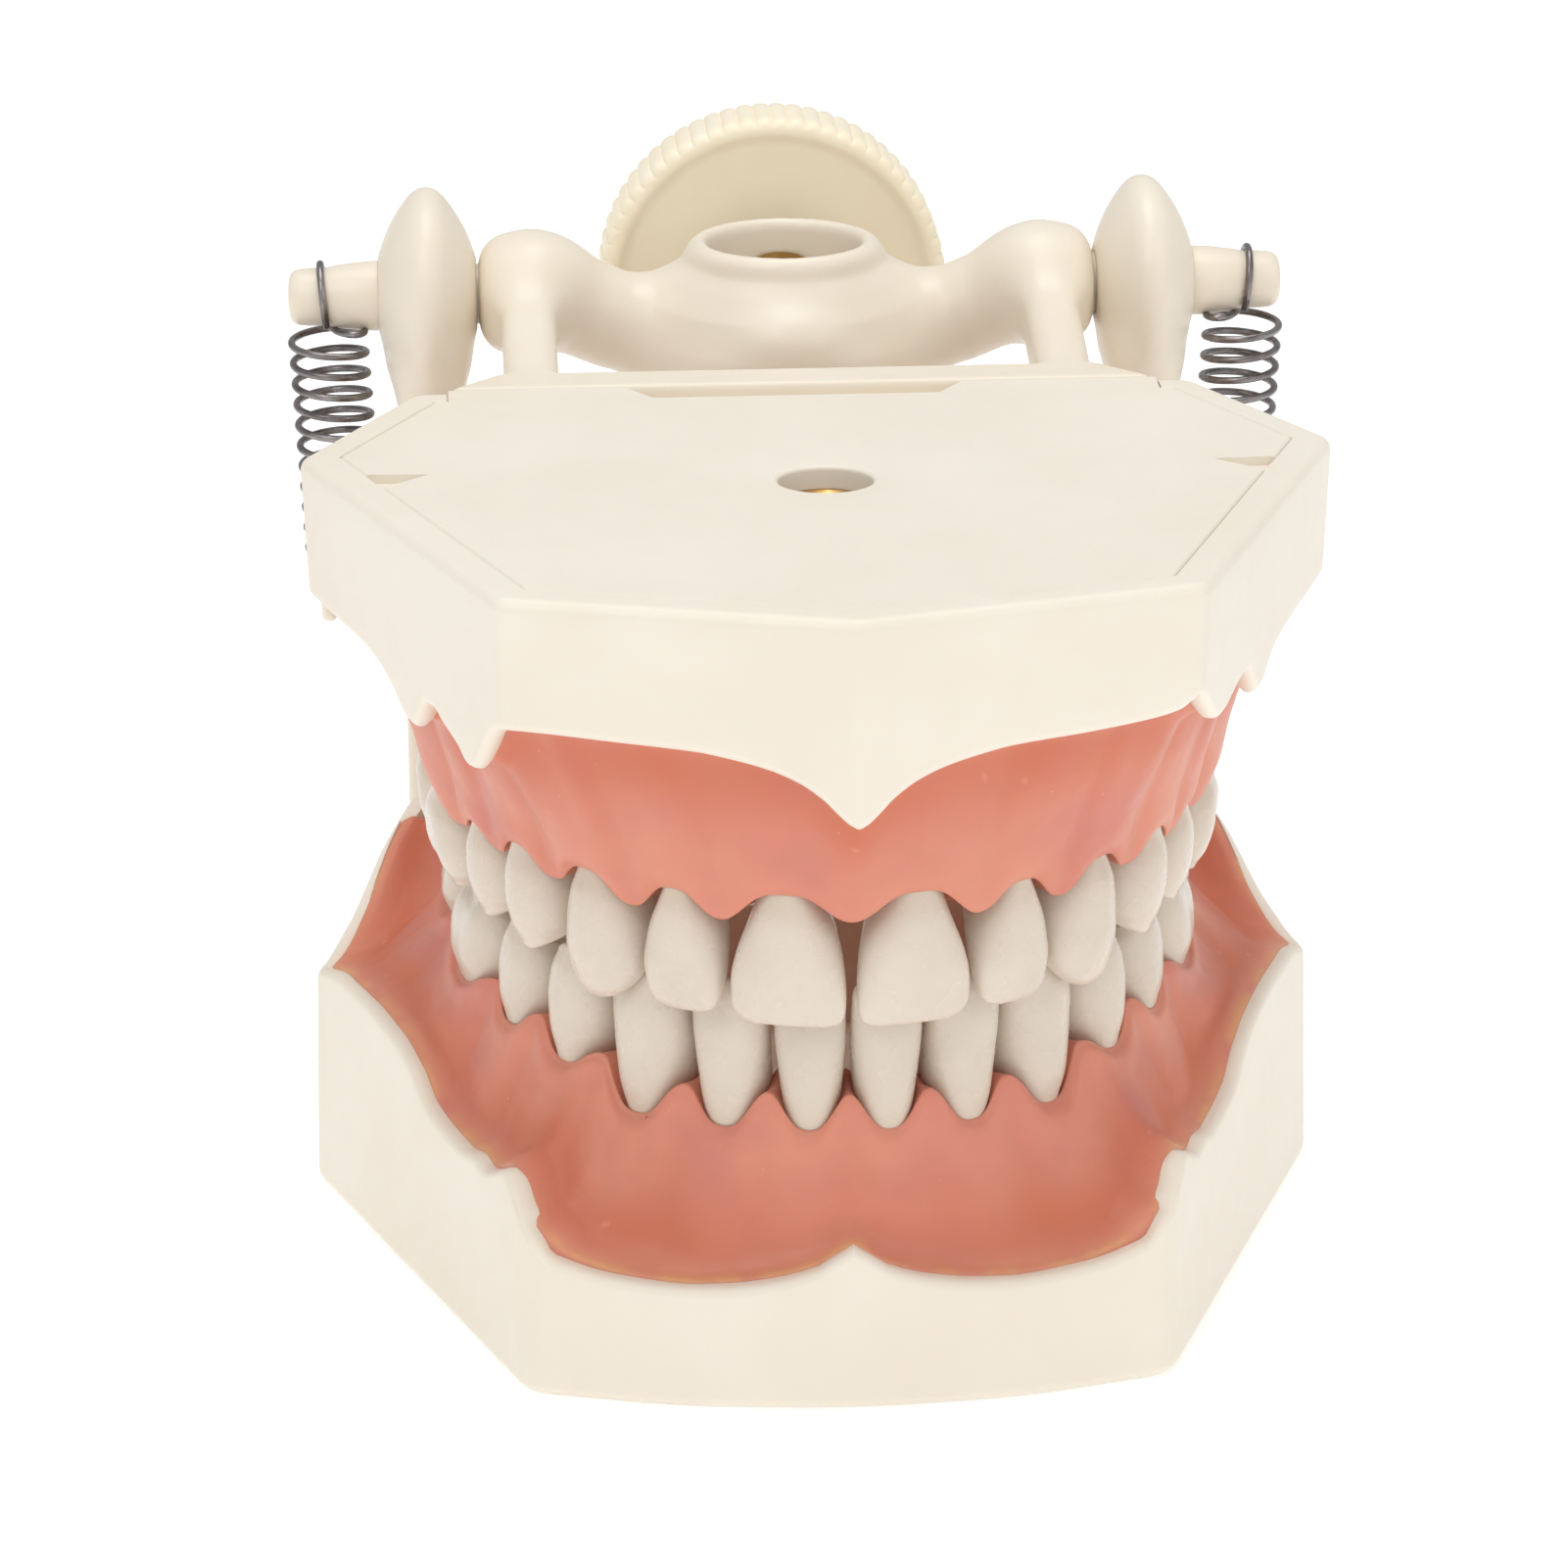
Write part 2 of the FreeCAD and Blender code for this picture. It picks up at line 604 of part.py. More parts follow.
def upper_bracket():
    """The step behind the upper plate that carries the legs."""
    rear_y = UPPER_PLAN[-1][1]
    front_y = rear_y - PLATE_INSET - BRACKET_GAP
    step_y = rear_y + BRACKET_GAP
    outline = [(-BRACKET_FRONT_X, front_y), (BRACKET_FRONT_X, front_y), (BRACKET_FRONT_X, step_y),
               (BRACKET_REAR_X, BRACKET_REAR_Y), (-BRACKET_REAR_X, BRACKET_REAR_Y), (-BRACKET_FRONT_X, step_y)]
    bracket = prism(outline, TOP_Z - BRACKET_T, TOP_Z)
    inner_wall_y = rear_y - RIM_T - WALL_DRAFT
    under_plate = centred_box(BRACKET_FRONT_X, 0.0, inner_wall_y, TOP_Z - BRACKET_T, TOP_Z - PLATE_T)
    return bracket.cut(under_plate)


def build_upper_frame():
    side = leg().fuse(shoulder())
    plate = fixing_plate(UPPER_PLAN, TOP_Z - PLATE_T, TOP_Z)
    body = plate.fuse([upper_bracket(), cross_member(), side, mirrored(side), boss()])
    body = body.cut(rod(ROD_R, V(0, BOSS_Y, BOSS_BOTTOM_Z - CUT_MARGIN), V(0, BOSS_Y, BOSS_TOP_Z + CUT_MARGIN)))
    body = body.cut(rod(THREAD_R + THREAD_CLEARANCE, V(0, BOSS_Y, CLAMP_Z), V(0, BARREL_END_Y, CLAMP_Z)))
    body = body.cut(rod(NUT_R, V(0, NUT_START_Y, CLAMP_Z), V(0, BARREL_END_Y, CLAMP_Z)))
    pin_hole = rod(PIN_R, V(PIN_INNER_X, HINGE_Y, HINGE_Z), V(EAR_X, HINGE_Y, HINGE_Z))
    body = body.cut([pin_hole, mirrored(pin_hole)])
    save("upper_frame", body.removeSplitter())


def build_hinge_pins():
    """Pins pressed into the collars; their tapered outer ends carry the springs."""
    shoulder_point = V(PIN_SHOULDER_X, HINGE_Y, HINGE_Z)
    shank = rod(PIN_R, V(PIN_INNER_X, HINGE_Y, HINGE_Z), shoulder_point)
    stub = Part.makeCone(STUB_R, STUB_END_R, PIN_END_X - PIN_SHOULDER_X, shoulder_point, X_AXIS)
    pin = shank.fuse(stub).removeSplitter()
    save("hinge_pin_left", pin)
    save("hinge_pin_right", mirrored(pin))


def clamp_rod(radius, start_y, end_y, x=0.0, z=CLAMP_Z):
    """A rod along the clamp's direction."""
    return rod(radius, V(x, start_y, z), V(x, end_y, z))


def build_clamp():
    """The clamp's thread insert, screw, swivel pad and knob, on one axis along Y."""
    insert = clamp_rod(NUT_R, NUT_START_Y, BARREL_END_Y)
    save("clamp_insert", insert.cut(clamp_rod(THREAD_R + THREAD_CLEARANCE, NUT_START_Y, BARREL_END_Y)))
    pad_end_y = PAD_START_Y + PAD_T
    socket_y = pad_end_y - PAD_SOCKET_T
    pad = clamp_rod(PAD_R, PAD_START_Y, pad_end_y)
    save("clamp_pad", pad.cut(clamp_rod(PAD_SOCKET_R, socket_y, pad_end_y)))
    thread_y = pad_end_y + PAD_PLAY
    screw_end_y = KNOB_FRONT_Y + SCREW_IN_KNOB
    tip = clamp_rod(TIP_R, socket_y + PAD_PLAY, thread_y)
    save("clamp_screw", clamp_rod(THREAD_R, thread_y, screw_end_y).fuse(tip).removeSplitter())
    knob_end_y = KNOB_FRONT_Y + KNOB_T
    knob = clamp_rod(KNOB_R, KNOB_FRONT_Y, knob_end_y)
    knob = knob.makeChamfer(KNOB_CHAMFER, [e for e in knob.Edges if isinstance(e.Curve, Part.Circle)])
    knob = knob.cut(clamp_rod(KNOB_R - KNOB_LIP, KNOB_FRONT_Y, KNOB_FRONT_Y + KNOB_DISH))
    knob = knob.cut(clamp_rod(THREAD_R, KNOB_FRONT_Y, screw_end_y))
    flutes = []
    for i in range(KNOB_FLUTES):
        angle = 2 * math.pi * i / KNOB_FLUTES
        x, z = KNOB_R * math.cos(angle), CLAMP_Z + KNOB_R * math.sin(angle)
        flutes.append(clamp_rod(KNOB_FLUTE_R, KNOB_FRONT_Y - CUT_MARGIN, knob_end_y + CUT_MARGIN, x, z))
    save("clamp_knob", knob.cut(Part.makeCompound(flutes)))


def hook_arc(x, centre_y, centre_z, radius, from_bottom):
    """Points of an open hook round a peg along X, from or to its lowest or highest point."""
    points = []
    side = -1.0 if from_bottom else 1.0
    for i in range(HOOK_STEPS + 1):
        turn = HOOK_SPAN * i / HOOK_STEPS
        points.append(V(x, centre_y + radius * math.sin(turn), centre_z + side * radius * math.cos(turn)))
    return points


def coil_points():
    steps = SPRING_TURNS * SPRING_STEPS_PER_TURN
    points = []
    for i in range(steps + 1):
        turn = 2 * math.pi * i / SPRING_STEPS_PER_TURN
        axis_x = SPRING_BOTTOM_X + (SPRING_TOP_X - SPRING_BOTTOM_X) * i / steps
        x = axis_x + SPRING_COIL_R * math.sin(turn)
        y = SPRING_Y - SPRING_COIL_R * math.cos(turn)
        points.append(V(x, y, SPRING_BOTTOM_Z + SPRING_PITCH * i / SPRING_STEPS_PER_TURN))
    return points


def wire_solid(points, radius, sides):
    """A wire of flat facets along a path, its sections carried on without twisting."""
    rings = []
    across = X_AXIS
    for i, point in enumerate(points):
        heading = points[min(i + 1, len(points) - 1)] - points[max(i - 1, 0)]
        heading.normalize()
        across = across - heading * across.dot(heading)
        across.normalize()
        other = heading.cross(across)
        turns = [2 * math.pi * k / sides for k in range(sides)]
        rings.append([point + across * (radius * math.cos(t)) + other * (radius * math.sin(t)) for t in turns])
    return ring_solid(rings)


def build_springs():
    """Coil springs hooked over the hinge pins and the lugs on the posts."""
    lower_hook = hook_arc(SPRING_BOTTOM_X, LUG_Y, LUG_Z, LUG_HOOK_R, False)[::-1]
    upper_hook = hook_arc(SPRING_TOP_X, HINGE_Y, HINGE_Z, HOOK_R, True)
    spring = wire_solid(lower_hook + coil_points() + upper_hook, SPRING_WIRE_R, SPRING_WIRE_SIDES)
    save("spring_left", spring)
    save("spring_right", mirrored(spring))


def main():
    lower_roots = build_teeth("lower", LOWER_ARCH, LOWER_TEETH, LOWER_GUM_Z, LOWER_FLOOR_Z)
    upper_roots = build_teeth("upper", UPPER_ARCH, UPPER_TEETH, UPPER_GUM_Z, UPPER_FLOOR_Z)
    lower_rims = [LOWER_FRONT_RIM, LOWER_SHOULDER_RIM, LOWER_SIDE_RIM, LOWER_HEEL_RIM, LOWER_REAR_RIM]
    upper_rims = [UPPER_FRONT_RIM, UPPER_SIDE_RIM, UPPER_HEEL_RIM, UPPER_REAR_RIM]
    lower_plate_z = build_base("lower_base", LOWER_PLAN, 0.0, LOWER_RIM_LIMIT_Z, LOWER_FLOOR_Z, lower_rims,
                               lower_roots)
    upper_plate_z = build_base("upper_base", UPPER_PLAN, TOP_Z, UPPER_RIM_LIMIT_Z, UPPER_FLOOR_Z, upper_rims,
                               upper_roots)
    build_tooth_screws("lower", lower_roots, lower_plate_z, LOWER_FLOOR_Z)
    build_tooth_screws("upper", upper_roots, upper_plate_z, UPPER_FLOOR_Z)
    build_insert("lower_insert", lower_plate_z, LOWER_FLOOR_Z)
    build_insert("upper_insert", upper_plate_z, UPPER_FLOOR_Z)
    build_lower_gum(lower_roots)
    build_upper_gum(upper_roots)
    build_lower_frame()
    build_upper_frame()
    build_hinge_pins()
    build_clamp()
    build_springs()


main()
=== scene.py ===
import bmesh
import bpy
import math
import numpy as np
from mathutils import Matrix, Vector


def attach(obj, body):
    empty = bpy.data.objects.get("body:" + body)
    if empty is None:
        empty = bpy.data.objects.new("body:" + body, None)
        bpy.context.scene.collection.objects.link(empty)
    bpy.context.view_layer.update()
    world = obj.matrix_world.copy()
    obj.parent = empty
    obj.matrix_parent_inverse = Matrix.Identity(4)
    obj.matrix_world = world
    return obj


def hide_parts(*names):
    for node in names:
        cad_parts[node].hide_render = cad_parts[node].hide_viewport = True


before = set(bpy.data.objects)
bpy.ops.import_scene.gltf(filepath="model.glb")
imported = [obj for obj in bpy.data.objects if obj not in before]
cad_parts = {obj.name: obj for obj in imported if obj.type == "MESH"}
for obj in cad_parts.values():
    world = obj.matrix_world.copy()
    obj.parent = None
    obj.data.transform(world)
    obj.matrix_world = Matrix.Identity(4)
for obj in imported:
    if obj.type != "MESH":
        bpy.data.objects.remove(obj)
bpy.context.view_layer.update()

# A typodont on its articulator. Sizes are in millimetres, in the CAD model's frame:
# +Z up, -Y the front of the mouth, +X its left, the origin under the lower jaw's fixing hole.
MM = 0.001
CREAM, FRAME, KNOB = "base_plastic", "frame_plastic", "knob_plastic"
GUM, RESIN = "gum", "tooth_resin"
SPRING, STEEL, BRASS = "spring_steel", "screw_steel", "insert_brass"

# Jaw bases. Plan corners of one half, from the front centre, as (x, y, corner radius).
UPPER_PLAN = [(0.0, -37.4, 2.5), (25.7, -29.9, 1.6), (40.2, 9.4, 1.6), (31.4, 28.0, 1.8)]
LOWER_PLAN = [(0.0, -30.8, 55.0), (12.8, -29.6, 45.0), (24.5, -26.1, 3.6), (40.7, 18.4, 1.6),
              (32.1, 30.4, 1.8)]
TOP_Z = 63.7
PLATE_T = 3.0
PLATE_INSET = 2.9
SEAM = 0.08
LOWER_FLOOR_Z = 9.0
UPPER_FLOOR_Z = 55.0
WALL_DRAFT = 0.6
RIM_T = 0.95
INNER_INSET = 3.0
TOP_EDGE_R = 1.0
RIM_EDGE_R = 0.8
INSERT_R = 4.4
FIXING_R = 3.65
LIP_Y = 28.35
ARC_STEPS = 8
WALL_STEP = 0.3

# Rim heights of each wall, as (share of the wall from its front end, height).
# The rear wall's share runs from the middle to its corner.
LOWER_RIMS = [
    [(0.0, 12.9), (0.06, 12.5), (0.17, 11.4), (0.42, 10.3), (0.74, 9.7), (1.0, 9.6)],
    [(0.0, 9.6), (0.42, 9.9), (0.8, 11.0), (1.0, 12.8)],
    [(0.0, 12.8), (0.05, 14.5), (0.105, 16.3), (0.15, 15.5), (0.2, 14.8), (0.24, 15.1), (0.3, 14.7),
     (0.38, 14.9), (0.46, 15.5), (0.53, 17.4), (0.62, 18.7), (0.76, 19.3), (0.88, 19.3), (1.0, 18.4)],
    [(0.0, 18.4), (0.3, 21.0), (0.7, 27.0), (1.0, 29.5)],
    [(0.0, 19.6), (0.4, 20.0), (0.7, 22.5), (0.88, 27.5), (1.0, 29.5)],
]
UPPER_RIMS = [
    [(0.0, 47.8), (0.03, 48.0), (0.063, 48.7), (0.11, 49.9), (0.18, 51.1), (0.26, 51.9), (0.36, 52.5),
     (0.46, 52.9), (0.66, 53.2), (1.0, 53.6)],
    [(0.0, 53.6), (0.03, 53.4), (0.07, 52.4), (0.12, 50.2), (0.16, 48.8), (0.19, 48.6), (0.23, 49.4),
     (0.3, 50.3), (0.35, 51.0), (0.39, 51.0), (0.43, 49.3), (0.463, 48.3), (0.5, 48.5), (0.56, 50.0),
     (0.64, 51.3), (0.72, 51.8), (0.9, 52.2), (1.0, 52.4)],
    [(0.0, 52.4), (0.5, 51.0), (1.0, 50.0)],
    [(0.0, 52.5), (0.6, 52.2), (0.85, 51.0), (1.0, 50.0)],
]

# The upper rim dips less at the model's left front corner.
UPPER_LEFT_RIMS = [
    UPPER_RIMS[0][:-1] + [(0.86, 53.7), (0.93, 54.1), (1.0, 55.1)],
    [(0.0, 55.1), (0.03, 54.6), (0.07, 53.4), (0.12, 52.0), (0.165, 51.4), (0.2, 51.4), (0.25, 51.8),
     (0.33, 52.3), (0.385, 52.2), (0.43, 50.6), (0.463, 49.5), (0.5, 49.6), (0.56, 50.9), (0.64, 51.6),
     (0.72, 51.9), (0.9, 52.2), (1.0, 52.4)],
    UPPER_RIMS[2],
    UPPER_RIMS[3],
]

# Teeth: name, width along the arch, depth across it, gumline and tip heights, width at the neck as a share.
UPPER_TEETH = [
    ("central_incisor", 8.7, 6.6, 40.4, 29.95, 0.64),
    ("lateral_incisor", 6.8, 6.0, 39.7, 30.1, 0.62),
    ("canine", 7.6, 7.4, 39.6, 29.3, 0.60),
    ("first_premolar", 7.0, 8.6, 39.4, 30.9, 0.68),
    ("second_premolar", 6.8, 8.6, 38.8, 31.1, 0.70),
    ("first_molar", 10.2, 10.2, 38.6, 31.3, 0.80),
    ("second_molar", 9.6, 10.0, 38.8, 31.3, 0.80),
]
LOWER_TEETH = [
    ("central_incisor", 5.4, 5.6, 20.6, 32.0, 0.60),
    ("lateral_incisor", 5.9, 5.8, 20.4, 32.0, 0.60),
    ("canine", 6.9, 7.0, 20.2, 32.2, 0.60),
    ("first_premolar", 7.0, 7.6, 22.3, 31.6, 0.66),
    ("second_premolar", 7.1, 8.2, 22.9, 31.4, 0.70),
    ("first_molar", 11.0, 9.8, 23.4, 31.2, 0.80),
    ("second_molar", 10.4, 9.6, 25.2, 31.2, 0.80),
]
TOOTH_GAP = 0.2
ARCH_STEPS = 900


# How far each side of a front tooth reaches at a share of its height, as a share of half its width.
INCISOR_NEAR = [(-0.35, 0.40), (0.0, 0.46), (0.09, 0.50), (0.165, 0.56), (0.34, 0.76), (0.52, 0.90),
                (0.69, 0.975), (0.85, 1.0), (0.94, 0.965), (0.978, 0.89), (1.0, 0.72)]
INCISOR_FAR = [(-0.35, 0.46), (0.0, 0.54), (0.09, 0.58), (0.165, 0.63), (0.34, 0.78), (0.52, 0.93),
               (0.69, 1.0), (0.85, 0.975), (0.935, 0.87), (0.972, 0.75), (1.0, 0.56)]
LATERAL_NEAR = [(-0.35, 0.42), (0.0, 0.48), (0.09, 0.54), (0.165, 0.62), (0.34, 0.82), (0.52, 0.94),
                (0.69, 1.0), (0.83, 0.985), (0.91, 0.92), (0.96, 0.82), (1.0, 0.58)]
LATERAL_FAR = [(-0.35, 0.44), (0.0, 0.50), (0.09, 0.57), (0.165, 0.65), (0.34, 0.86), (0.5, 0.96),
               (0.65, 1.0), (0.8, 0.93), (0.92, 0.76), (0.97, 0.58), (1.0, 0.36)]
CANINE_NEAR = [(-0.35, 0.44), (0.0, 0.54), (0.1, 0.64), (0.26, 0.80), (0.5, 0.96), (0.68, 1.0), (0.8, 0.9),
               (0.91, 0.66), (0.97, 0.42), (1.0, 0.18)]
CANINE_FAR = [(-0.35, 0.46), (0.0, 0.56), (0.1, 0.66), (0.26, 0.83), (0.45, 0.97), (0.6, 1.0), (0.75, 0.92),
              (0.87, 0.70), (0.95, 0.46), (1.0, 0.20)]
LOWER_SIDE = [(-0.35, 0.58), (-0.12, 0.65), (-0.04, 0.70), (0.03, 0.75), (0.1, 0.79), (0.27, 0.87),
              (0.44, 0.94), (0.62, 1.0), (0.9, 1.0), (0.97, 0.94), (1.0, 0.82)]
LOWER_CANINE_SIDE = [(-0.35, 0.48), (-0.05, 0.58), (0.05, 0.68), (0.27, 0.86), (0.5, 0.98), (0.7, 1.0),
                     (0.83, 0.88), (0.93, 0.6), (1.0, 0.22)]


class Arch:
    """A half-ellipse through the middle of the crowns, going on straight back past the last molar."""

    def __init__(self, half_width, length, centre_y, back_y, teeth, papilla, floor_z, up):
        self.half_width = half_width
        self.length = length
        self.centre_y = centre_y
        self.teeth = teeth
        self.papilla = papilla
        self.floor_z = floor_z
        self.up = up
        turn = np.linspace(0, math.pi / 2, ARCH_STEPS)
        x = half_width * np.sin(turn)
        y = centre_y - length * np.cos(turn)
        back = np.linspace(centre_y, back_y, ARCH_STEPS // 4)[1:]
        self.x = np.concatenate([x, np.full(len(back), half_width)])
        self.y = np.concatenate([y, back])
        self.run = np.concatenate([[0.0], np.cumsum(np.hypot(np.diff(self.x), np.diff(self.y)))])
        self.heading = np.concatenate([np.arctan2(length * np.sin(turn), half_width * np.cos(turn)),
                                       np.full(len(back), math.pi / 2)])
        self.centres = []
        reached = 0.0
        for tooth in teeth:
            self.centres.append(reached + tooth[1] / 2)
            reached += tooth[1] + TOOTH_GAP
        self.end = reached - TOOTH_GAP

    def at(self, run):
        """Points and headings at signed distances from the midline along the arch."""
        run = np.asarray(run, float)
        far = np.abs(run)
        side = np.where(run < 0, -1.0, 1.0)
        x = np.interp(far, self.run, self.x) * side
        y = np.interp(far, self.run, self.y)
        heading = np.interp(far, self.run, self.heading) * side
        return x, y, heading


UPPER_ARCH = Arch(26.8, 40.6, 14.0, 24.0, UPPER_TEETH, -2.3, UPPER_FLOOR_Z, -1.0)
LOWER_ARCH = Arch(25.2, 36.4, 13.0, 26.6, LOWER_TEETH, 3.0, LOWER_FLOOR_Z, 1.0)


# Meshes

def add_piece(name, points, faces, material, body, nodes, sharp_angle=None):
    """A new object from points in millimetres, riding on a body in place of CAD nodes."""
    mesh = bpy.data.meshes.new(name)
    mesh.from_pydata((np.asarray(points, float) * MM).tolist(), [], faces)
    shape = bmesh.new()
    shape.from_mesh(mesh)
    bmesh.ops.remove_doubles(shape, verts=shape.verts, dist=1e-7)
    bmesh.ops.dissolve_degenerate(shape, dist=1e-8, edges=shape.edges)
    bmesh.ops.recalc_face_normals(shape, faces=shape.faces)
    shape.to_mesh(mesh)
    shape.free()
    mesh.shade_smooth()
    if sharp_angle:
        mesh.set_sharp_from_angle(angle=math.radians(sharp_angle))
    piece = bpy.data.objects.new(name, mesh)
    bpy.context.scene.collection.objects.link(piece)
    mesh.materials.append(material)
    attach(piece, body)
    if nodes:
        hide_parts(*nodes)
    return piece


def bridge(rings, closed_rings=True, closed_stack=False):
    """Quads between rings of equally many points; returns the points and the faces."""
    rings = np.asarray(rings, float)
    count, size = rings.shape[:2]
    rows = count if closed_stack else count - 1
    columns = size if closed_rings else size - 1
    i, j = np.meshgrid(np.arange(rows), np.arange(columns), indexing="ij")
    i2, j2 = (i + 1) % count, (j + 1) % size
    quads = np.stack([i * size + j, i * size + j2, i2 * size + j2, i2 * size + j], -1)
    return rings.reshape(-1, 3), quads.reshape(-1, 4).tolist()


def surface_net(field, low, high, step):
    """Points and quads of the surface where field(x, y, z) is zero; it is negative inside."""
    low = np.asarray(low, float)
    axes = [np.arange(a, b + step, step) for a, b in zip(low, high)]
    values = field(*np.meshgrid(*axes, indexing="ij"))
    inside = values < 0
    shape = np.array(values.shape)
    corners = np.array([(a, b, c) for a in (0, 1) for b in (0, 1) for c in (0, 1)])
    cells = shape - 1
    filled = np.zeros(cells, np.int8)
    for a, b, c in corners:
        filled += inside[a:a + cells[0], b:b + cells[1], c:c + cells[2]]
    active = np.argwhere((filled > 0) & (filled < 8))
    index = np.full(cells, -1, np.int64)
    index[tuple(active.T)] = np.arange(len(active))
    total = np.zeros((len(active), 3))
    hits = np.zeros(len(active))
    units = np.eye(3, dtype=int)
    for axis in range(3):
        for corner in corners[corners[:, axis] == 0]:
            start = active + corner
            end = start + units[axis]
            a, b = values[tuple(start.T)], values[tuple(end.T)]
            crossed = (a < 0) != (b < 0)
            share = np.where(crossed, a / np.where(crossed, a - b, 1.0), 0.0)
            total[crossed] += (start + share[:, None] * units[axis])[crossed]
            hits += crossed
    points = low + step * total / hits[:, None]
    quads = []
    for axis in range(3):
        u, w = units[(axis + 1) % 3], units[(axis + 2) % 3]
        near = np.take(inside, np.arange(shape[axis] - 1), axis)
        far = np.take(inside, np.arange(1, shape[axis]), axis)
        edges = np.argwhere(near != far)
        edges = edges[(edges @ u > 0) & (edges @ w > 0)]
        quad = np.stack([index[tuple((edges - s).T)] for s in (u + w, w, 0 * u, u)], 1)
        outward = near[tuple(edges.T)]
        quad[~outward] = quad[~outward][:, ::-1]
        quads.append(quad)
    return settle(points, field, step), np.concatenate(quads).tolist()


def settle(points, field, step):
    """Carry points onto the field's zero surface."""
    reach = step * 0.2
    for _ in range(2):
        x, y, z = points.T
        slope = np.stack([field(x + reach, y, z) - field(x - reach, y, z),
                          field(x, y + reach, z) - field(x, y - reach, z),
                          field(x, y, z + reach) - field(x, y, z - reach)], 1) / (2 * reach)
        steep = np.maximum((slope ** 2).sum(1), 0.2)
        move = -slope * (field(x, y, z) / steep)[:, None]
        points = points + np.clip(move, -step * 0.4, step * 0.4)
    return points


# Distance fields

def join(a, b, blend):
    """The union of two fields, with a fillet."""
    h = np.clip(0.5 + 0.5 * (b - a) / blend, 0, 1)
    return b * (1 - h) + a * h - blend * h * (1 - h)


def cut(a, b, blend):
    """Field a without field b, with a rounded edge."""
    return -join(-a, b, blend)


def ball(x, y, z, centre, radius):
    return np.sqrt((x - centre[0]) ** 2 + (y - centre[1]) ** 2 + (z - centre[2]) ** 2) - radius


def drum(along, radial, start, end, radius, edge):
    """A rod between two places along its axis, with rounded edges."""
    a = np.maximum(start - along, along - end) + edge
    b = radial - radius + edge
    return np.minimum(np.maximum(a, b), 0) + np.hypot(np.maximum(a, 0), np.maximum(b, 0)) - edge


def block(x, y, z, half, edge):
    """A box about the origin with rounded edges."""
    a, b, c = np.abs(x) - half[0] + edge, np.abs(y) - half[1] + edge, np.abs(z) - half[2] + edge
    outside = np.sqrt(np.maximum(a, 0) ** 2 + np.maximum(b, 0) ** 2 + np.maximum(c, 0) ** 2)
    return outside + np.minimum(np.maximum(np.maximum(a, b), c), 0) - edge


def bar(x, y, z, points, radius):
    """A round bar along a chain of points."""
    result = None
    for a, b in zip(points, points[1:]):
        a, b = np.array(a), np.array(b)
        d = b - a
        t = np.clip(((x - a[0]) * d[0] + (y - a[1]) * d[1] + (z - a[2]) * d[2]) / (d @ d), 0, 1)
        here = ball(x, y, z, (a[0] + t * d[0], a[1] + t * d[1], a[2] + t * d[2]), radius)
        result = here if result is None else np.minimum(result, here)
    return result


def smooth_table(table):
    """A curve through (place, value) pairs that is flat at each high and low."""
    places, values = np.array(table).T
    gaps = np.diff(places)
    slopes = np.diff(values) / gaps
    tangents = np.zeros(len(places))
    product = slopes[1:] * slopes[:-1]
    total = np.where(product > 0, slopes[1:] + slopes[:-1], 1.0)
    tangents[1:-1] = np.where(product > 0, 2 * product / total, 0.0)

    def value(place):
        i = np.clip(np.searchsorted(places, place) - 1, 0, len(gaps) - 1)
        s = np.clip((place - places[i]) / gaps[i], 0, 1)
        a = (1 + 2 * s) * (1 - s) ** 2 * values[i] + s * s * (3 - 2 * s) * values[i + 1]
        return a + gaps[i] * (s * (1 - s) ** 2 * tangents[i] - s * s * (1 - s) * tangents[i + 1])

    return value


# Plan outlines

def whole_plan(plan):
    right = [(-x, y, r) for x, y, r in reversed(plan) if x > 0]
    return plan + right


def inset_corners(corners, distance):
    """The corners of a plan moved inwards by a distance."""
    result = []
    for i, (x, y, r) in enumerate(corners):
        ax, ay = corners[i - 1][:2]
        bx, by = corners[(i + 1) % len(corners)][:2]
        u = Vector((x - ax, y - ay)).normalized()
        w = Vector((bx - x, by - y)).normalized()
        inward = Vector((-u.y, u.x)) + Vector((-w.y, w.x))
        shift = inward * (distance / (1 + u.dot(w)))
        result.append((x + shift.x, y + shift.y, max(r - distance, 0.25)))
    return result


def outline(plan, inset):
    """Points round an outline moved inwards, with each one's wall number and share of that wall."""
    sharp = whole_plan(plan)
    corners = inset_corners(sharp, inset)
    count = len(corners)
    arcs = []
    for i, (x, y, r) in enumerate(corners):
        here = Vector((x, y))
        u = (here - Vector(corners[i - 1][:2])).normalized()
        w = (Vector(corners[(i + 1) % count][:2]) - here).normalized()
        turn = u.angle(w)
        reach = r * math.tan(turn / 2)
        start = here - u * reach
        side = Vector((-u.y, u.x))
        centre = start + side * r
        steps = [turn * k / ARC_STEPS for k in range(ARC_STEPS + 1)]
        arcs.append([centre - side * (r * math.cos(t)) + u * (r * math.sin(t)) for t in steps])
    points, walls, shares = [], [], []
    half = ARC_STEPS // 2
    for i in range(count):
        after = (i + 1) % count
        length = math.dist(sharp[i][:2], sharp[after][:2])
        steps = max(2, round(length / WALL_STEP))
        a, b = arcs[i][-1], arcs[after][0]
        stretch = arcs[i][half:-1] + [a.lerp(b, k / steps) for k in range(steps)] + arcs[after][:half]
        along = Vector(corners[after][:2]) - Vector(corners[i][:2])
        for p in stretch:
            points.append((p.x, p.y))
            walls.append(i)
            shares.append((p - Vector(corners[i][:2])).dot(along) / along.length_squared)
    return np.array(points), np.array(walls), np.array(shares)


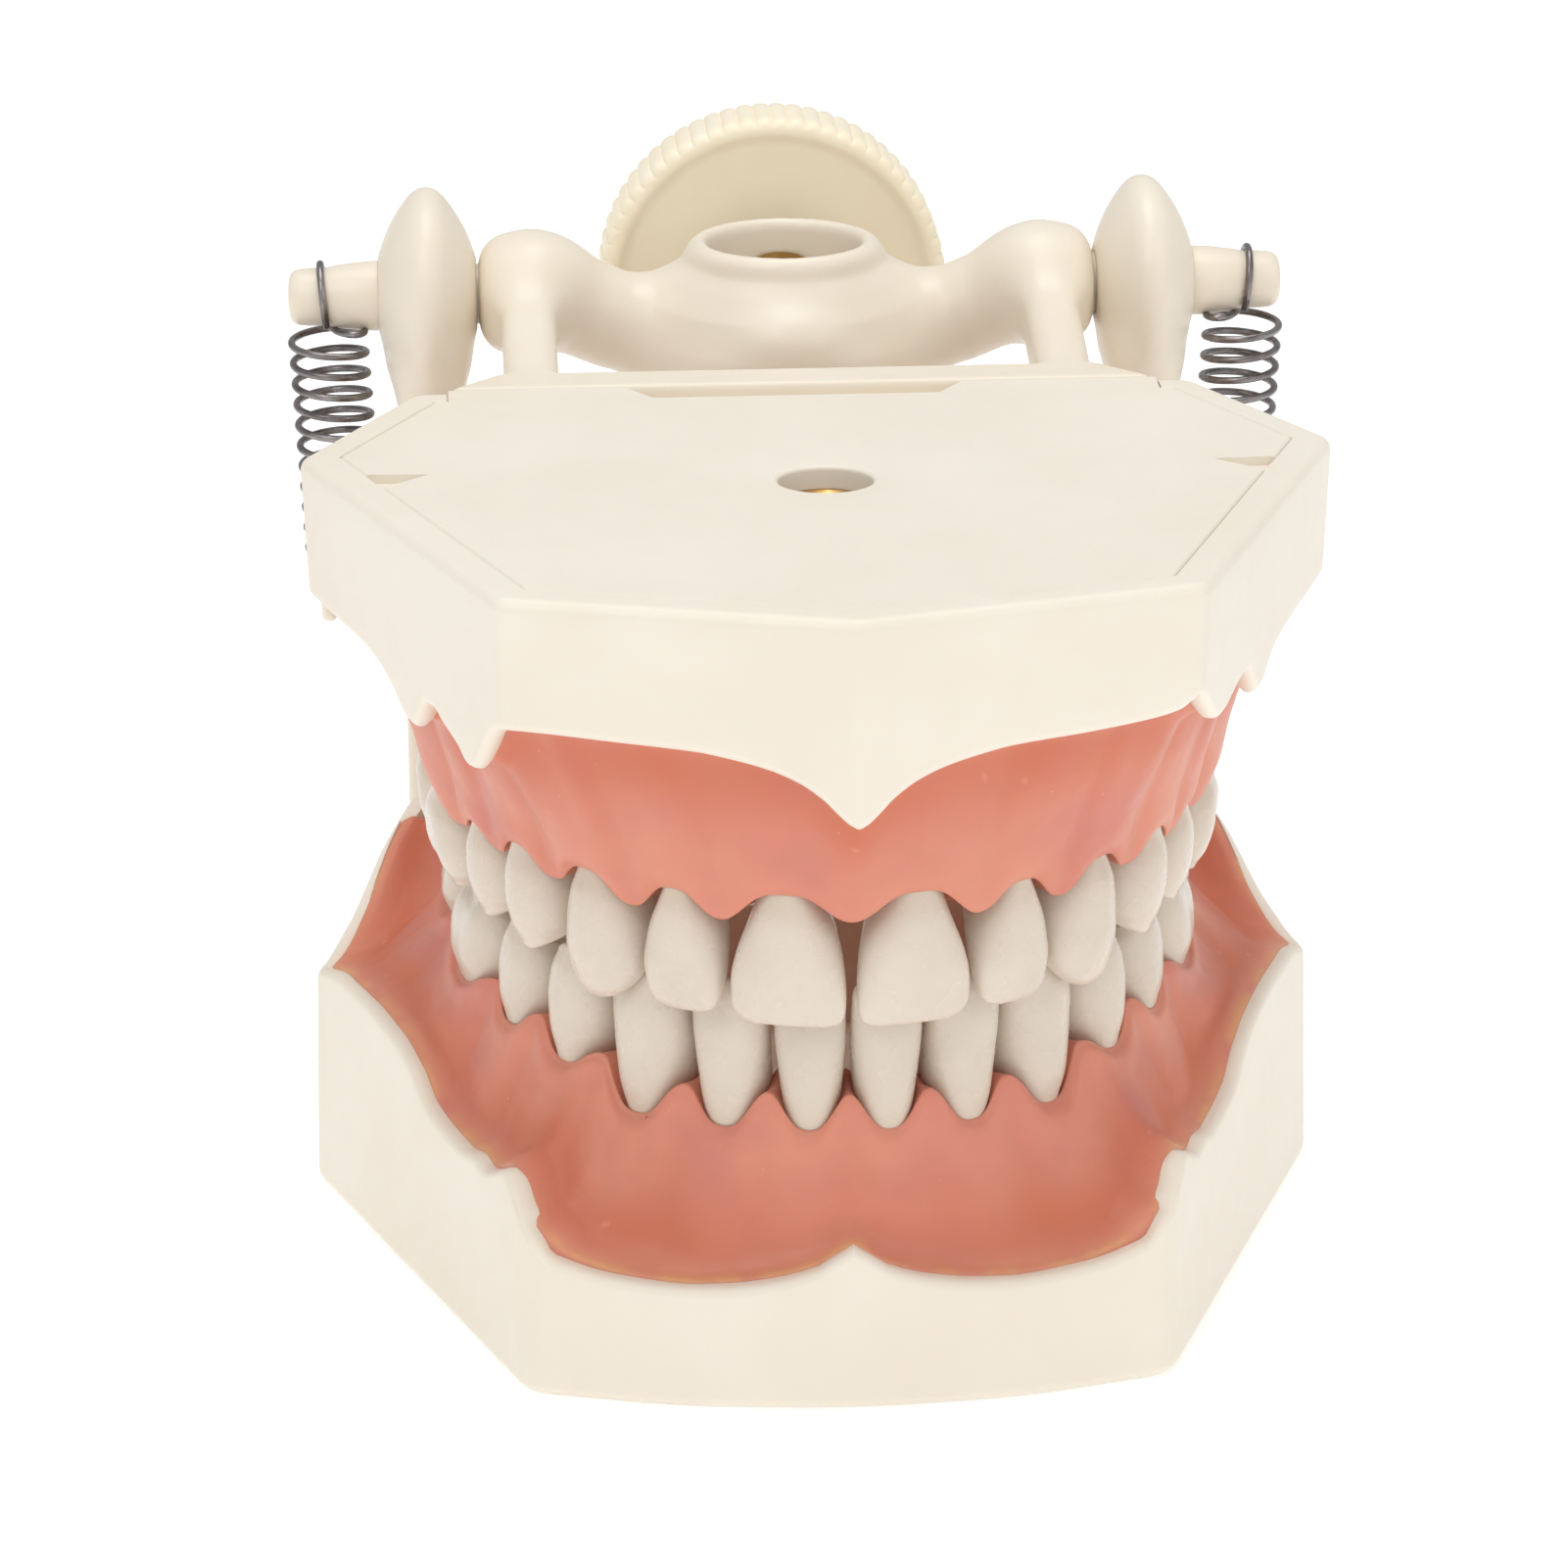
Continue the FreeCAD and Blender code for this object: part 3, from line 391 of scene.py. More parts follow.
def rim_heights(plan, rims, walls, shares):
    """The rim's height at each place of an outline, from the tables of the left and right halves."""
    last = len(plan) - 1
    mirrored = walls > last
    wall = np.where(mirrored, 2 * last - walls, walls)
    share = np.clip(np.where(mirrored, 1 - shares, shares), 0, 1)
    share = np.where(wall == last, np.abs(2 * share - 1), share)
    height = np.zeros(len(walls))
    for right, tables in enumerate(rims):
        for k, rim in enumerate(tables):
            here = (wall == k) & (mirrored == bool(right))
            height[here] = smooth_table(rim)(share[here])
    return height


def level_ring(points, z):
    z = np.broadcast_to(z, len(points))
    return np.column_stack([points, z])


def round_ring(points, radius, z):
    """A circle with as many points as the outline, each in the same direction from the axis."""
    length = np.hypot(points[:, 0], points[:, 1])
    return level_ring(points / length[:, None] * radius, z)


# Materials

def srgb(r, g, b):
    """A linear colour from a display one."""
    linear = []
    for value in (r, g, b):
        v = value / 255
        linear.append(v / 12.92 if v <= 0.04045 else ((v + 0.055) / 1.055) ** 2.4)
    return linear + [1.0]


class Shader:
    """A Principled material and the nodes that feed it."""

    def __init__(self, name, roughness, **sockets):
        self.material = bpy.data.materials.new(name)
        self.material.use_nodes = True
        self.tree = self.material.node_tree
        self.main = self.tree.nodes["Principled BSDF"]
        self.main.inputs["Roughness"].default_value = roughness
        for socket, value in sockets.items():
            self.main.inputs[socket.replace("_", " ")].default_value = value
        self.place = self.node("ShaderNodeTexCoord").outputs["Object"]

    def node(self, kind, **settings):
        made = self.tree.nodes.new(kind)
        for key, value in settings.items():
            setattr(made, key, value)
        return made

    def link(self, output, socket):
        self.tree.links.new(output, socket)

    def noise(self, per_mm, detail=3.0, roughness=0.5):
        made = self.node("ShaderNodeTexNoise")
        self.link(self.place, made.inputs["Vector"])
        made.inputs["Scale"].default_value = per_mm / MM
        made.inputs["Detail"].default_value = detail
        made.inputs["Roughness"].default_value = roughness
        return made.outputs["Fac"]

    def specks(self, per_mm, size, share):
        """1 in small scattered dots, one cell in a few."""
        cells = self.node("ShaderNodeTexVoronoi", feature="F1")
        self.link(self.place, cells.inputs["Vector"])
        cells.inputs["Scale"].default_value = per_mm / MM
        near = self.spread(cells.outputs["Distance"], size * 0.6, size, 1.0, 0.0)
        pick = self.node("ShaderNodeSeparateColor")
        self.link(cells.outputs["Color"], pick.inputs["Color"])
        chosen = self.spread(pick.outputs[0], share * 0.98, share, 1.0, 0.0)
        return self.math("MULTIPLY", near, chosen)

    def math(self, operation, a, b):
        made = self.node("ShaderNodeMath", operation=operation)
        for socket, value in zip(made.inputs, (a, b)):
            if isinstance(value, (int, float)):
                socket.default_value = value
            else:
                self.link(value, socket)
        return made.outputs[0]

    def spread(self, value, low, high, to_low=0.0, to_high=1.0):
        made = self.node("ShaderNodeMapRange")
        made.clamp = True
        self.link(value, made.inputs["Value"])
        ends = {"From Min": low, "From Max": high, "To Min": to_low, "To Max": to_high}
        for socket, number in ends.items():
            made.inputs[socket].default_value = number
        return made.outputs["Result"]

    def attribute(self, name):
        return self.node("ShaderNodeAttribute", attribute_name=name).outputs["Fac"]

    def mix(self, share, a, b):
        """A colour between a and b, each a colour or a socket."""
        made = self.node("ShaderNodeMix", data_type="RGBA")
        self.link(share, made.inputs["Factor"])
        colours = [s for s in made.inputs if s.type == "RGBA"]
        for socket, value in zip(colours, (a, b)):
            if isinstance(value, list):
                socket.default_value = value
            else:
                self.link(value, socket)
        return [s for s in made.outputs if s.type == "RGBA"][0]

    def colour(self, output):
        self.link(output, self.main.inputs["Base Color"])

    def rough(self, value, low, high):
        self.link(self.spread(value, 0.3, 0.7, low, high), self.main.inputs["Roughness"])

    def bump(self, layers):
        """Bumps from (height, distance in mm) layers."""
        normal = None
        for height, distance in layers:
            made = self.node("ShaderNodeBump")
            made.inputs["Strength"].default_value = 1.0
            made.inputs["Distance"].default_value = distance * MM
            self.link(height, made.inputs["Height"])
            if normal:
                self.link(normal, made.inputs["Normal"])
            normal = made.outputs["Normal"]
        self.link(normal, self.main.inputs["Normal"])


def moulded_plastic(name, light, dark, roughness, dirt):
    """Cream moulded plastic: faint mottling, a fine satin grain, and a few tiny dark specks."""
    shader = Shader(name, roughness, IOR=1.49, Specular_IOR_Level=0.45, Subsurface_Weight=0.12,
                    Subsurface_Radius=(1.0, 0.75, 0.5), Subsurface_Scale=0.9 * MM)
    mottle = shader.noise(0.07, 4.0)
    base = shader.mix(shader.spread(mottle, 0.35, 0.68), light, dark)
    specks = shader.specks(0.16, 0.045, dirt)
    shader.colour(shader.mix(specks, base, srgb(150, 136, 112)))
    shader.rough(shader.noise(0.5, 3.0), roughness - 0.05, roughness + 0.07)
    shader.bump([(shader.noise(5.0, 2.0), 0.0035), (shader.noise(0.12, 2.0), 0.05)])
    return shader.material


def gum_rubber():
    """Soft pink rubber: painted shade, darker and more orange, in its fold by the rim; mauve over the roots,
    lighter at edges, with pale specks.
    """
    shader = Shader("gum_rubber", 0.42, IOR=1.45, Specular_IOR_Level=0.4, Subsurface_Weight=0.3,
                    Subsurface_Radius=(1.0, 0.45, 0.3), Subsurface_Scale=1.1 * MM)
    fold_shade = shader.attribute("fold")
    patches = shader.noise(0.11, 3.0)
    base = shader.mix(shader.spread(patches, 0.35, 0.7), srgb(222, 146, 122), srgb(214, 134, 116))
    # Painted shade: the fold weight darkens the pink towards orange-brown.
    base = shader.mix(shader.spread(fold_shade, 0.0, 1.0, 0.0, 0.85), base, srgb(206, 115, 84))
    veins = shader.spread(shader.noise(0.16, 2.0), 0.52, 0.72, 0.0, 0.35)
    root = shader.math("MULTIPLY", veins, shader.attribute("root"))
    base = shader.mix(root, base, srgb(196, 122, 118))
    pale = shader.specks(0.75, 0.07, 0.16)
    base = shader.mix(shader.math("MULTIPLY", pale, 0.5), base, srgb(240, 190, 170))
    glue = shader.math("MULTIPLY", shader.attribute("edge"), shader.spread(shader.noise(0.3, 2.0), 0.35, 0.6))
    base = shader.mix(shader.math("MULTIPLY", glue, 0.75), base, srgb(226, 170, 118))
    dark = shader.specks(0.13, 0.03, 0.25)
    shader.colour(shader.mix(dark, base, srgb(96, 40, 34)))
    shader.rough(shader.noise(0.3, 3.0), 0.36, 0.5)
    shader.bump([(shader.noise(2.2, 3.0), 0.012), (shader.noise(0.3, 2.0), 0.12)])
    return shader.material


def tooth_resin():
    """Dense white resin with a gloss, slightly warmer towards the neck."""
    shader = Shader("tooth_resin", 0.24, IOR=1.52, Specular_IOR_Level=0.5, Subsurface_Weight=0.1,
                    Subsurface_Radius=(1.0, 0.8, 0.6), Subsurface_Scale=0.9 * MM)
    cloud = shader.noise(0.25, 3.0)
    base = shader.mix(shader.spread(cloud, 0.35, 0.7), srgb(224, 213, 198), srgb(219, 207, 191))
    base = shader.mix(shader.spread(shader.attribute("neck"), 0.0, 1.0, 0.0, 0.7), base, srgb(212, 198, 178))
    specks = shader.specks(0.2, 0.025, 0.06)
    shader.colour(shader.mix(specks, base, srgb(120, 104, 88)))
    shader.rough(shader.noise(0.4, 2.0), 0.22, 0.32)
    return shader.material


def metal(name, light, dark, roughness):
    """Drawn or turned metal, with fine streaks and slight tarnish."""
    shader = Shader(name, roughness, Metallic=1.0)
    shader.colour(shader.mix(shader.spread(shader.noise(0.5, 4.0), 0.3, 0.7), light, dark))
    shader.rough(shader.noise(1.5, 3.0), roughness - 0.06, roughness + 0.12)
    shader.bump([(shader.noise(9.0, 2.0), 0.003)])
    return shader.material


MATERIALS = {
    CREAM: moulded_plastic("base_cream", srgb(241, 233, 219), srgb(238, 229, 213), 0.42, 0.05),
    FRAME: moulded_plastic("frame_cream", srgb(241, 231, 214), srgb(237, 226, 207), 0.36, 0.02),
    # The knob's cream is painted lighter than the base's: painted light that makes up for the shade the boss
    # and plates cast on its face.
    KNOB: moulded_plastic("knob_cream_painted_light", srgb(253, 242, 218), srgb(250, 237, 209), 0.4, 0.02),
    GUM: gum_rubber(),
    RESIN: tooth_resin(),
    SPRING: metal("spring_steel", srgb(158, 153, 152), srgb(112, 106, 106), 0.3),
    STEEL: metal("screw_steel", srgb(190, 186, 180), srgb(150, 146, 140), 0.32),
    BRASS: metal("insert_brass", srgb(206, 172, 112), srgb(168, 132, 78), 0.36),
}


# Jaw bases and plates

def arc_rows(start_inset, start_z, radius, z_sign, outward):
    """(inset, z offset) rows of a quarter round; outward runs from the flat to the wall."""
    rows = []
    steps = 6
    for k in range(steps + 1):
        t = math.pi / 2 * k / steps
        if not outward:
            t = math.pi / 2 - t
        rows.append((start_inset + radius * (1 - math.sin(t)), start_z + z_sign * radius * (1 - math.cos(t))))
    return rows


def make_base(name, plan, rims, outer_z, limit_z, floor_z, body):
    """A jaw base: drafted walls, a scalloped rim, the floor, and the recess for the frame's plate."""
    up = 1.0 if limit_z > outer_z else -1.0
    points, walls, shares = outline(plan, 0.0)
    rim = rim_heights(plan, rims, walls, shares)
    draft = WALL_DRAFT * np.abs(rim - outer_z) / abs(limit_z - outer_z)
    plate_z = outer_z + up * PLATE_T
    recess = outline(plan, PLATE_INSET)[0]
    rings = [round_ring(points, INSERT_R, plate_z), level_ring(recess, plate_z)]
    rings.append(level_ring(recess, outer_z + up * 0.1))
    rings.append(level_ring(outline(plan, PLATE_INSET - 0.1)[0], outer_z))
    for inset, z in arc_rows(0.0, outer_z, TOP_EDGE_R, up, True):
        rings.append(level_ring(outline(plan, inset)[0], z))
    wall_start = outer_z + up * TOP_EDGE_R
    inward = outline(plan, 1.0)[0] - points
    for k in range(1, 9):
        share = k / 8
        z = wall_start + (rim - up * RIM_EDGE_R - wall_start) * share
        rings.append(level_ring(points + inward * (draft * share)[:, None], z))
    for inset, z in arc_rows(0.0, 0.0, RIM_EDGE_R, -up, False)[1:]:
        rings.append(level_ring(points + inward * (draft + inset)[:, None], rim + z))
    inner = outline(plan, WALL_DRAFT + RIM_T)[0]
    rings.append(level_ring(inner, rim))
    foot = outline(plan, INNER_INSET)[0]
    rings.append(level_ring(inner * 0.6 + foot * 0.4, rim - up * 0.4))
    rings.append(level_ring(foot, floor_z))
    rings.append(round_ring(points, INSERT_R, floor_z))
    points, faces = bridge(rings, closed_stack=True)
    return add_piece(name, points, faces, MATERIALS[CREAM], body, [name], sharp_angle=32)


def make_plate(plan, z0, z1, outer_z):
    """A fixing plate that fills the base's recess, with its fixing hole."""
    edge = 0.15
    hole_edge = 0.35
    far_z = z0 if outer_z == z1 else z1
    inward = 1.0 if far_z > outer_z else -1.0
    rim = outline(plan, PLATE_INSET + SEAM)[0]
    top = outline(plan, PLATE_INSET + SEAM + edge)[0]
    rings = [level_ring(rim, far_z), level_ring(rim, outer_z + inward * edge), level_ring(top, outer_z)]
    for k in range(1, 6):
        share = k / 6
        circle = round_ring(rim, FIXING_R + hole_edge, outer_z)
        rings.append(level_ring(top, outer_z) * (1 - share) + circle * share)
    for k in range(5):
        t = math.pi / 2 * k / 4
        radius = FIXING_R + hole_edge * (1 - math.sin(t))
        rings.append(round_ring(rim, radius, outer_z + inward * hole_edge * (1 - math.cos(t))))
    rings.append(round_ring(rim, FIXING_R, far_z))
    points, faces = bridge(rings, closed_stack=True)
    return points, faces


def prism(name, polygon, z0, z1):
    """A straight block over a polygon of plan points."""
    count = len(polygon)
    points = [(x, y, z) for z in (z0, z1) for x, y in polygon]
    faces = [list(range(count)), list(range(count, 2 * count))]
    faces += [[k, (k + 1) % count, count + (k + 1) % count, count + k] for k in range(count)]
    mesh = bpy.data.meshes.new(name)
    mesh.from_pydata((np.array(points) * MM).tolist(), [], faces)
    shape = bmesh.new()
    shape.from_mesh(mesh)
    bmesh.ops.recalc_face_normals(shape, faces=shape.faces)
    shape.to_mesh(mesh)
    shape.free()
    made = bpy.data.objects.new(name, mesh)
    bpy.context.scene.collection.objects.link(made)
    return made


def carve(piece, cutters, sharp_angle):
    """Take cutters away from a piece and drop them."""
    for cutter in cutters:
        change = piece.modifiers.new("carve", "BOOLEAN")
        change.operation = "DIFFERENCE"
        change.solver = "EXACT"
        change.object = cutter
    evaluated = piece.evaluated_get(bpy.context.evaluated_depsgraph_get())
    carved = bpy.data.meshes.new_from_object(evaluated)
    piece.modifiers.clear()
    piece.data = carved
    carved.shade_smooth()
    carved.set_sharp_from_angle(angle=math.radians(sharp_angle))
    for cutter in cutters:
        bpy.data.objects.remove(cutter)


make_base("lower_base", LOWER_PLAN, (LOWER_RIMS, LOWER_RIMS), 0.0, 31.0, LOWER_FLOOR_Z, "lower_jaw")
upper_base = make_base("upper_base", UPPER_PLAN, (UPPER_LEFT_RIMS, UPPER_RIMS), TOP_Z, 46.5, UPPER_FLOOR_Z,
                       "upper_jaw")
POCKET = [(35.4, 3.9), (30.2, 3.6), (33.6, 0.2)]
NOTCH = [(-28.65, 24.0), (28.65, 24.0), (28.65, 32.0), (-28.65, 32.0)]
carve(upper_base, [prism("notch", NOTCH, 58.6, 64.4)], 32)
for plate_name, plate_plan, plate_levels, node, body_name in (
        ("lower_plate", LOWER_PLAN, (0.0, PLATE_T, 0.0), "lower_frame", "lower_jaw"),
        ("upper_plate", UPPER_PLAN, (TOP_Z - PLATE_T, TOP_Z, TOP_Z), "upper_frame", "upper_jaw")):
    plate_points, plate_faces = make_plate(plate_plan, *plate_levels)
    plate = add_piece(plate_name, plate_points, plate_faces, MATERIALS[CREAM], body_name, [node],
                      sharp_angle=32)
    if plate_name == "upper_plate":
        pockets = [prism("pocket", [(s * x, y) for x, y in POCKET], 63.0, 64.2) for s in (-1, 1)]
        carve(plate, pockets, 32)


# The plate's rear deck, with the long slot in front of the bracket's lip.
DECK_TOP = TOP_Z - 0.01
DECK_BOTTOM = TOP_Z - 2.9
DECK_HALF_X = 28.5
DECK_FRONT = 24.6
DECK_REAR = LIP_Y - 0.06
SLOT_FLOOR = TOP_Z - 1.35
SLOT_FRONT_X = (-12.0, 10.6)
SLOT_REAR_X = (-14.2, 12.8)


def make_deck():
    right = [(-DECK_HALF_X, DECK_FRONT), (SLOT_FRONT_X[0], DECK_FRONT),
             (SLOT_REAR_X[0], DECK_REAR), (-DECK_HALF_X, DECK_REAR)]
    left = [(SLOT_FRONT_X[1], DECK_FRONT), (DECK_HALF_X, DECK_FRONT),
            (DECK_HALF_X, DECK_REAR), (SLOT_REAR_X[1], DECK_REAR)]
    slot = [(SLOT_FRONT_X[0], DECK_FRONT), (SLOT_FRONT_X[1], DECK_FRONT), (SLOT_REAR_X[1], DECK_REAR),
            (SLOT_REAR_X[0], DECK_REAR)]
    for name, polygon, top in (("deck_right", right, DECK_TOP), ("deck_left", left, DECK_TOP),
                               ("slot_floor", slot, SLOT_FLOOR)):
        piece = prism(name, polygon, DECK_BOTTOM, top)
        piece.data.materials.append(MATERIALS[CREAM])
        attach(piece, "upper_jaw")
        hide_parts("upper_frame")


make_deck()


# Articulator

HINGE_Y = 51.0
HINGE_Z = 66.0
EAR_X = 30.0
EAR_HALF_T = 4.45
EAR_R = 9.7
BOSS_Y = 53.0
ROD_R = 6.5
CLAMP_Z = 61.3
LUG_Y = 48.0
LUG_Z = 41.0
LUG_END_X = 39.5
BARREL_R = 7.2
BARREL_END_Y = 64.5
FRAME_STEP = 0.34
BOSS_PROFILE = [(0.0, 54.4), (9.4, 54.4), (10.8, 57.0), (11.0, 61.5), (10.2, 64.6), (9.0, 66.6), (8.0, 68.0),
                (7.7, 69.0), (7.2, 69.6), (0.0, 69.6)]
CROSS_PATH = [(0.0, 53.0, 62.3), (5.0, 53.0, 62.2), (9.0, 53.0, 62.2), (12.0, 52.9, 62.5), (14.5, 52.6, 63.2),
              (17.0, 52.0, 64.4), (19.2, 51.4, 65.7), (20.6, 51.0, 66.4)]


def turned(radial, z, profile):
    """The distance from a closed profile of (radius, z) corners turned about an axis."""
    best = None
    crossings = np.zeros(np.shape(radial), bool)
    for (ax, az), (bx, bz) in zip(profile, profile[1:] + profile[:1]):
        dx, dz = bx - ax, bz - az
        t = np.clip(((radial - ax) * dx + (z - az) * dz) / (dx * dx + dz * dz), 0, 1)
        here = (radial - ax - t * dx) ** 2 + (z - az - t * dz) ** 2
        if max(ax, bx) > 0:
            best = here if best is None else np.minimum(best, here)
        if dz:
            hit = ((az <= z) != (bz <= z)) & (radial < ax + (z - az) * dx / dz)
            crossings = crossings ^ hit
    return np.where(crossings, -1.0, 1.0) * np.sqrt(best)


def upper_rear(x, y, z):
    """The bracket, legs, shoulders, cross member, boss and clamp barrel of the upper frame."""
    x = np.abs(x)
    radial = np.hypot(x, y - BOSS_Y)
    boss = turned(radial, z, BOSS_PROFILE)
    boss = join(boss, np.hypot(radial - 7.05, z - 68.85) - 0.8, 0.8)
    barrel = drum(y, np.hypot(x, z - CLAMP_Z), BOSS_Y, BARREL_END_Y, BARREL_R, 0.7)
    body = join(boss, barrel, 1.6)
    pad = ball(x * 0.66, y, z, (0.0, BOSS_Y - 8.9, 63.0), 2.6)
    body = join(body, pad, 1.6)
    body = join(body, bar(x, y, z, CROSS_PATH, 4.15), 4.6)
    body = join(body, ball(x, y, z, (20.8, HINGE_Y, HINGE_Z + 0.1), 4.9), 1.4)
    collar = drum(x, np.hypot(y - HINGE_Y, z - HINGE_Z), 20.0, 25.35, 4.7, 1.9)
    body = join(body, collar, 1.6)
    slope = (66.0 - 60.4) / (HINGE_Y - 30.0)
    lean = z - 60.4 - (y - 30.0) * slope
    leg = block(x - 21.7, y - 40.0, lean, (2.2, 12.0, 3.0), 1.7)
    body = join(body, leg, 2.8)
    corner = (x - 24.6) * 0.75 + (y - 33.0) * 0.66
    bracket = block(x, y - (LIP_Y + 2.4), z - (TOP_Z - 2.4), (28.5, 2.4, 2.55), 0.55)
    bracket = cut(bracket, -corner, 0.8)
    body = join(body, bracket, 0.7)
    body = cut(body, drum(z, radial, 50.0, 80.0, ROD_R, 0.1), 0.9)
    screw_way = drum(y, np.hypot(x, z - CLAMP_Z), BOSS_Y, 80.0, 5.65, 0.1)
    return cut(body, screw_way, 0.3)


def lower_rear(x, y, z):
    """The bracket, posts, ears and spring lugs of the lower frame."""
    x = np.abs(x)
    lens_r = (EAR_HALF_T ** 2 + EAR_R ** 2) / (2 * EAR_HALF_T)
    offset = lens_r - EAR_HALF_T
    near = ball(x, y, z, (EAR_X + offset, HINGE_Y, HINGE_Z), lens_r)
    far = ball(x, y, z, (EAR_X - offset, HINGE_Y, HINGE_Z), lens_r)
    ear = -join(-near, -far, 2.2)
    centre_y = 38.0 + (HINGE_Y - 38.0) * np.clip(z, 0, 60.5) / 60.5
    post = block(x - EAR_X, y - centre_y, z - 30.5, (2.5, 5.5, 30.5), 1.3)
    body = join(ear, post, 3.0)
    from_lug = np.hypot(y - LUG_Y, z - LUG_Z)
    lug = drum(x, from_lug, EAR_X, LUG_END_X, 1.6, 0.3)
    head = drum(x, from_lug, 38.2, LUG_END_X, 2.3, 0.5)
    body = join(body, np.minimum(lug, head), 0.8)
    step = block(x, y - 37.6, z - 2.5, (33.0, 7.3, 2.5), 0.9)
    body = join(body, step, 2.0)
    neck = block(x, y - 29.0, z - 1.5, (28.3, 3.5, 1.5), 0.2)
    body = join(body, neck, 0.6)
    pin_way = drum(x, np.hypot(y - HINGE_Y, z - HINGE_Z), 20.0, 45.0, 2.6, 0.1)
    return cut(body, pin_way, 0.35)


def make_frames():
    points, faces = surface_net(upper_rear, (-29.5, 23.5, 53.5), (29.5, 65.5, 72.5), FRAME_STEP)
    add_piece("upper_yoke", points, faces, MATERIALS[FRAME], "upper_jaw", ["upper_frame"])
    points, faces = surface_net(lower_rear, (-42.0, 24.5, -1.0), (42.0, 61.5, 76.5), FRAME_STEP)
    add_piece("lower_posts", points, faces, MATERIALS[FRAME], "lower_jaw", ["lower_frame"])


make_frames()


# Gums

GUM_STEP = 0.3


def wall_hits(plan, rims, inset, x, y, heading):
    """How far out each arch point's normal meets the inset wall, and the rim's height there."""
    corners = inset_corners(whole_plan(plan), inset)
    out_x, out_y = np.sin(heading), -np.cos(heading)
    reach = np.full(len(x), np.inf)
    wall = np.zeros(len(x), int)
    share = np.zeros(len(x))
    for i in range(len(corners)):
        ax, ay = corners[i][:2]
        bx, by = corners[(i + 1) % len(corners)][:2]
        dx, dy = bx - ax, by - ay
        det = out_x * dy - out_y * dx
        det = np.where(np.abs(det) < 1e-9, 1e-9, det)
        far = ((ax - x) * dy - (ay - y) * dx) / det
        s = ((ax - x) * out_y - (ay - y) * out_x) / det
        hit = (far > 0) & (s >= -1e-6) & (s <= 1 + 1e-6) & (far < reach)
        reach = np.where(hit, far, reach)
        wall = np.where(hit, i, wall)
        share = np.where(hit, s, share)
    return reach, rim_heights(plan, rims, wall, share)


def blurred(values, sigma):
    """Values along a line, smoothed."""
    size = int(math.ceil(sigma * 3))
    weights = np.exp(-0.5 * (np.arange(-size, size + 1) / sigma) ** 2)
    padded = np.pad(values, size, mode="edge")
    return np.convolve(padded, weights / weights.sum(), "valid")


def tooth_shares(arch, run):
    """For each place along the arch: its tooth's number, signed share of the half-width, and whether it lies
    past the last tooth.
    """
    far = np.abs(run)
    number = np.full(len(run), len(arch.teeth) - 1)
    share = np.zeros(len(run))
    for i, tooth in enumerate(arch.teeth):
        half = (tooth[1] + TOOTH_GAP) / 2
        here = np.abs(far - arch.centres[i]) <= half
        number[here] = i
        share[here] = ((far - arch.centres[i]) / half)[here]
    beyond = far > arch.end
    share[beyond] = 1.0
    return number, share, beyond


def waviness(x, y, z, size):
    """A gentle unevenness, from -1 to 1."""
    a = np.sin(x / size + 1.3 * np.sin(z / size * 0.9 + 0.5)) * np.cos(y / size * 1.1 + 0.8)
    b = np.sin(z / size * 1.7 + y / size * 0.8) * np.cos(x / size * 0.7 - 1.1)
    return 0.6 * a + 0.4 * b


def fine_rows(rows, steps):
    """Rows of (outward, z) knots made into a smooth curve per column, with their knot places."""
    rows = np.array(rows)
    count = len(rows)
    result, places = [], []
    for i in range(count - 1):
        p0, p1 = rows[max(i - 1, 0)], rows[i]
        p2, p3 = rows[i + 1], rows[min(i + 2, count - 1)]
        for k in range(steps[i]):
            t = k / steps[i]
            a = (2 * t ** 3 - 3 * t ** 2 + 1) * p1 + (3 * t ** 2 - 2 * t ** 3) * p2
            b = (t ** 3 - 2 * t ** 2 + t) * (p2 - p0) / 2 + (t ** 3 - t ** 2) * (p3 - p1) / 2
            result.append(a + b * 0.85)
            places.append(i + t)
    return np.array(result + [rows[-1]]), np.array(places + [count - 1.0])


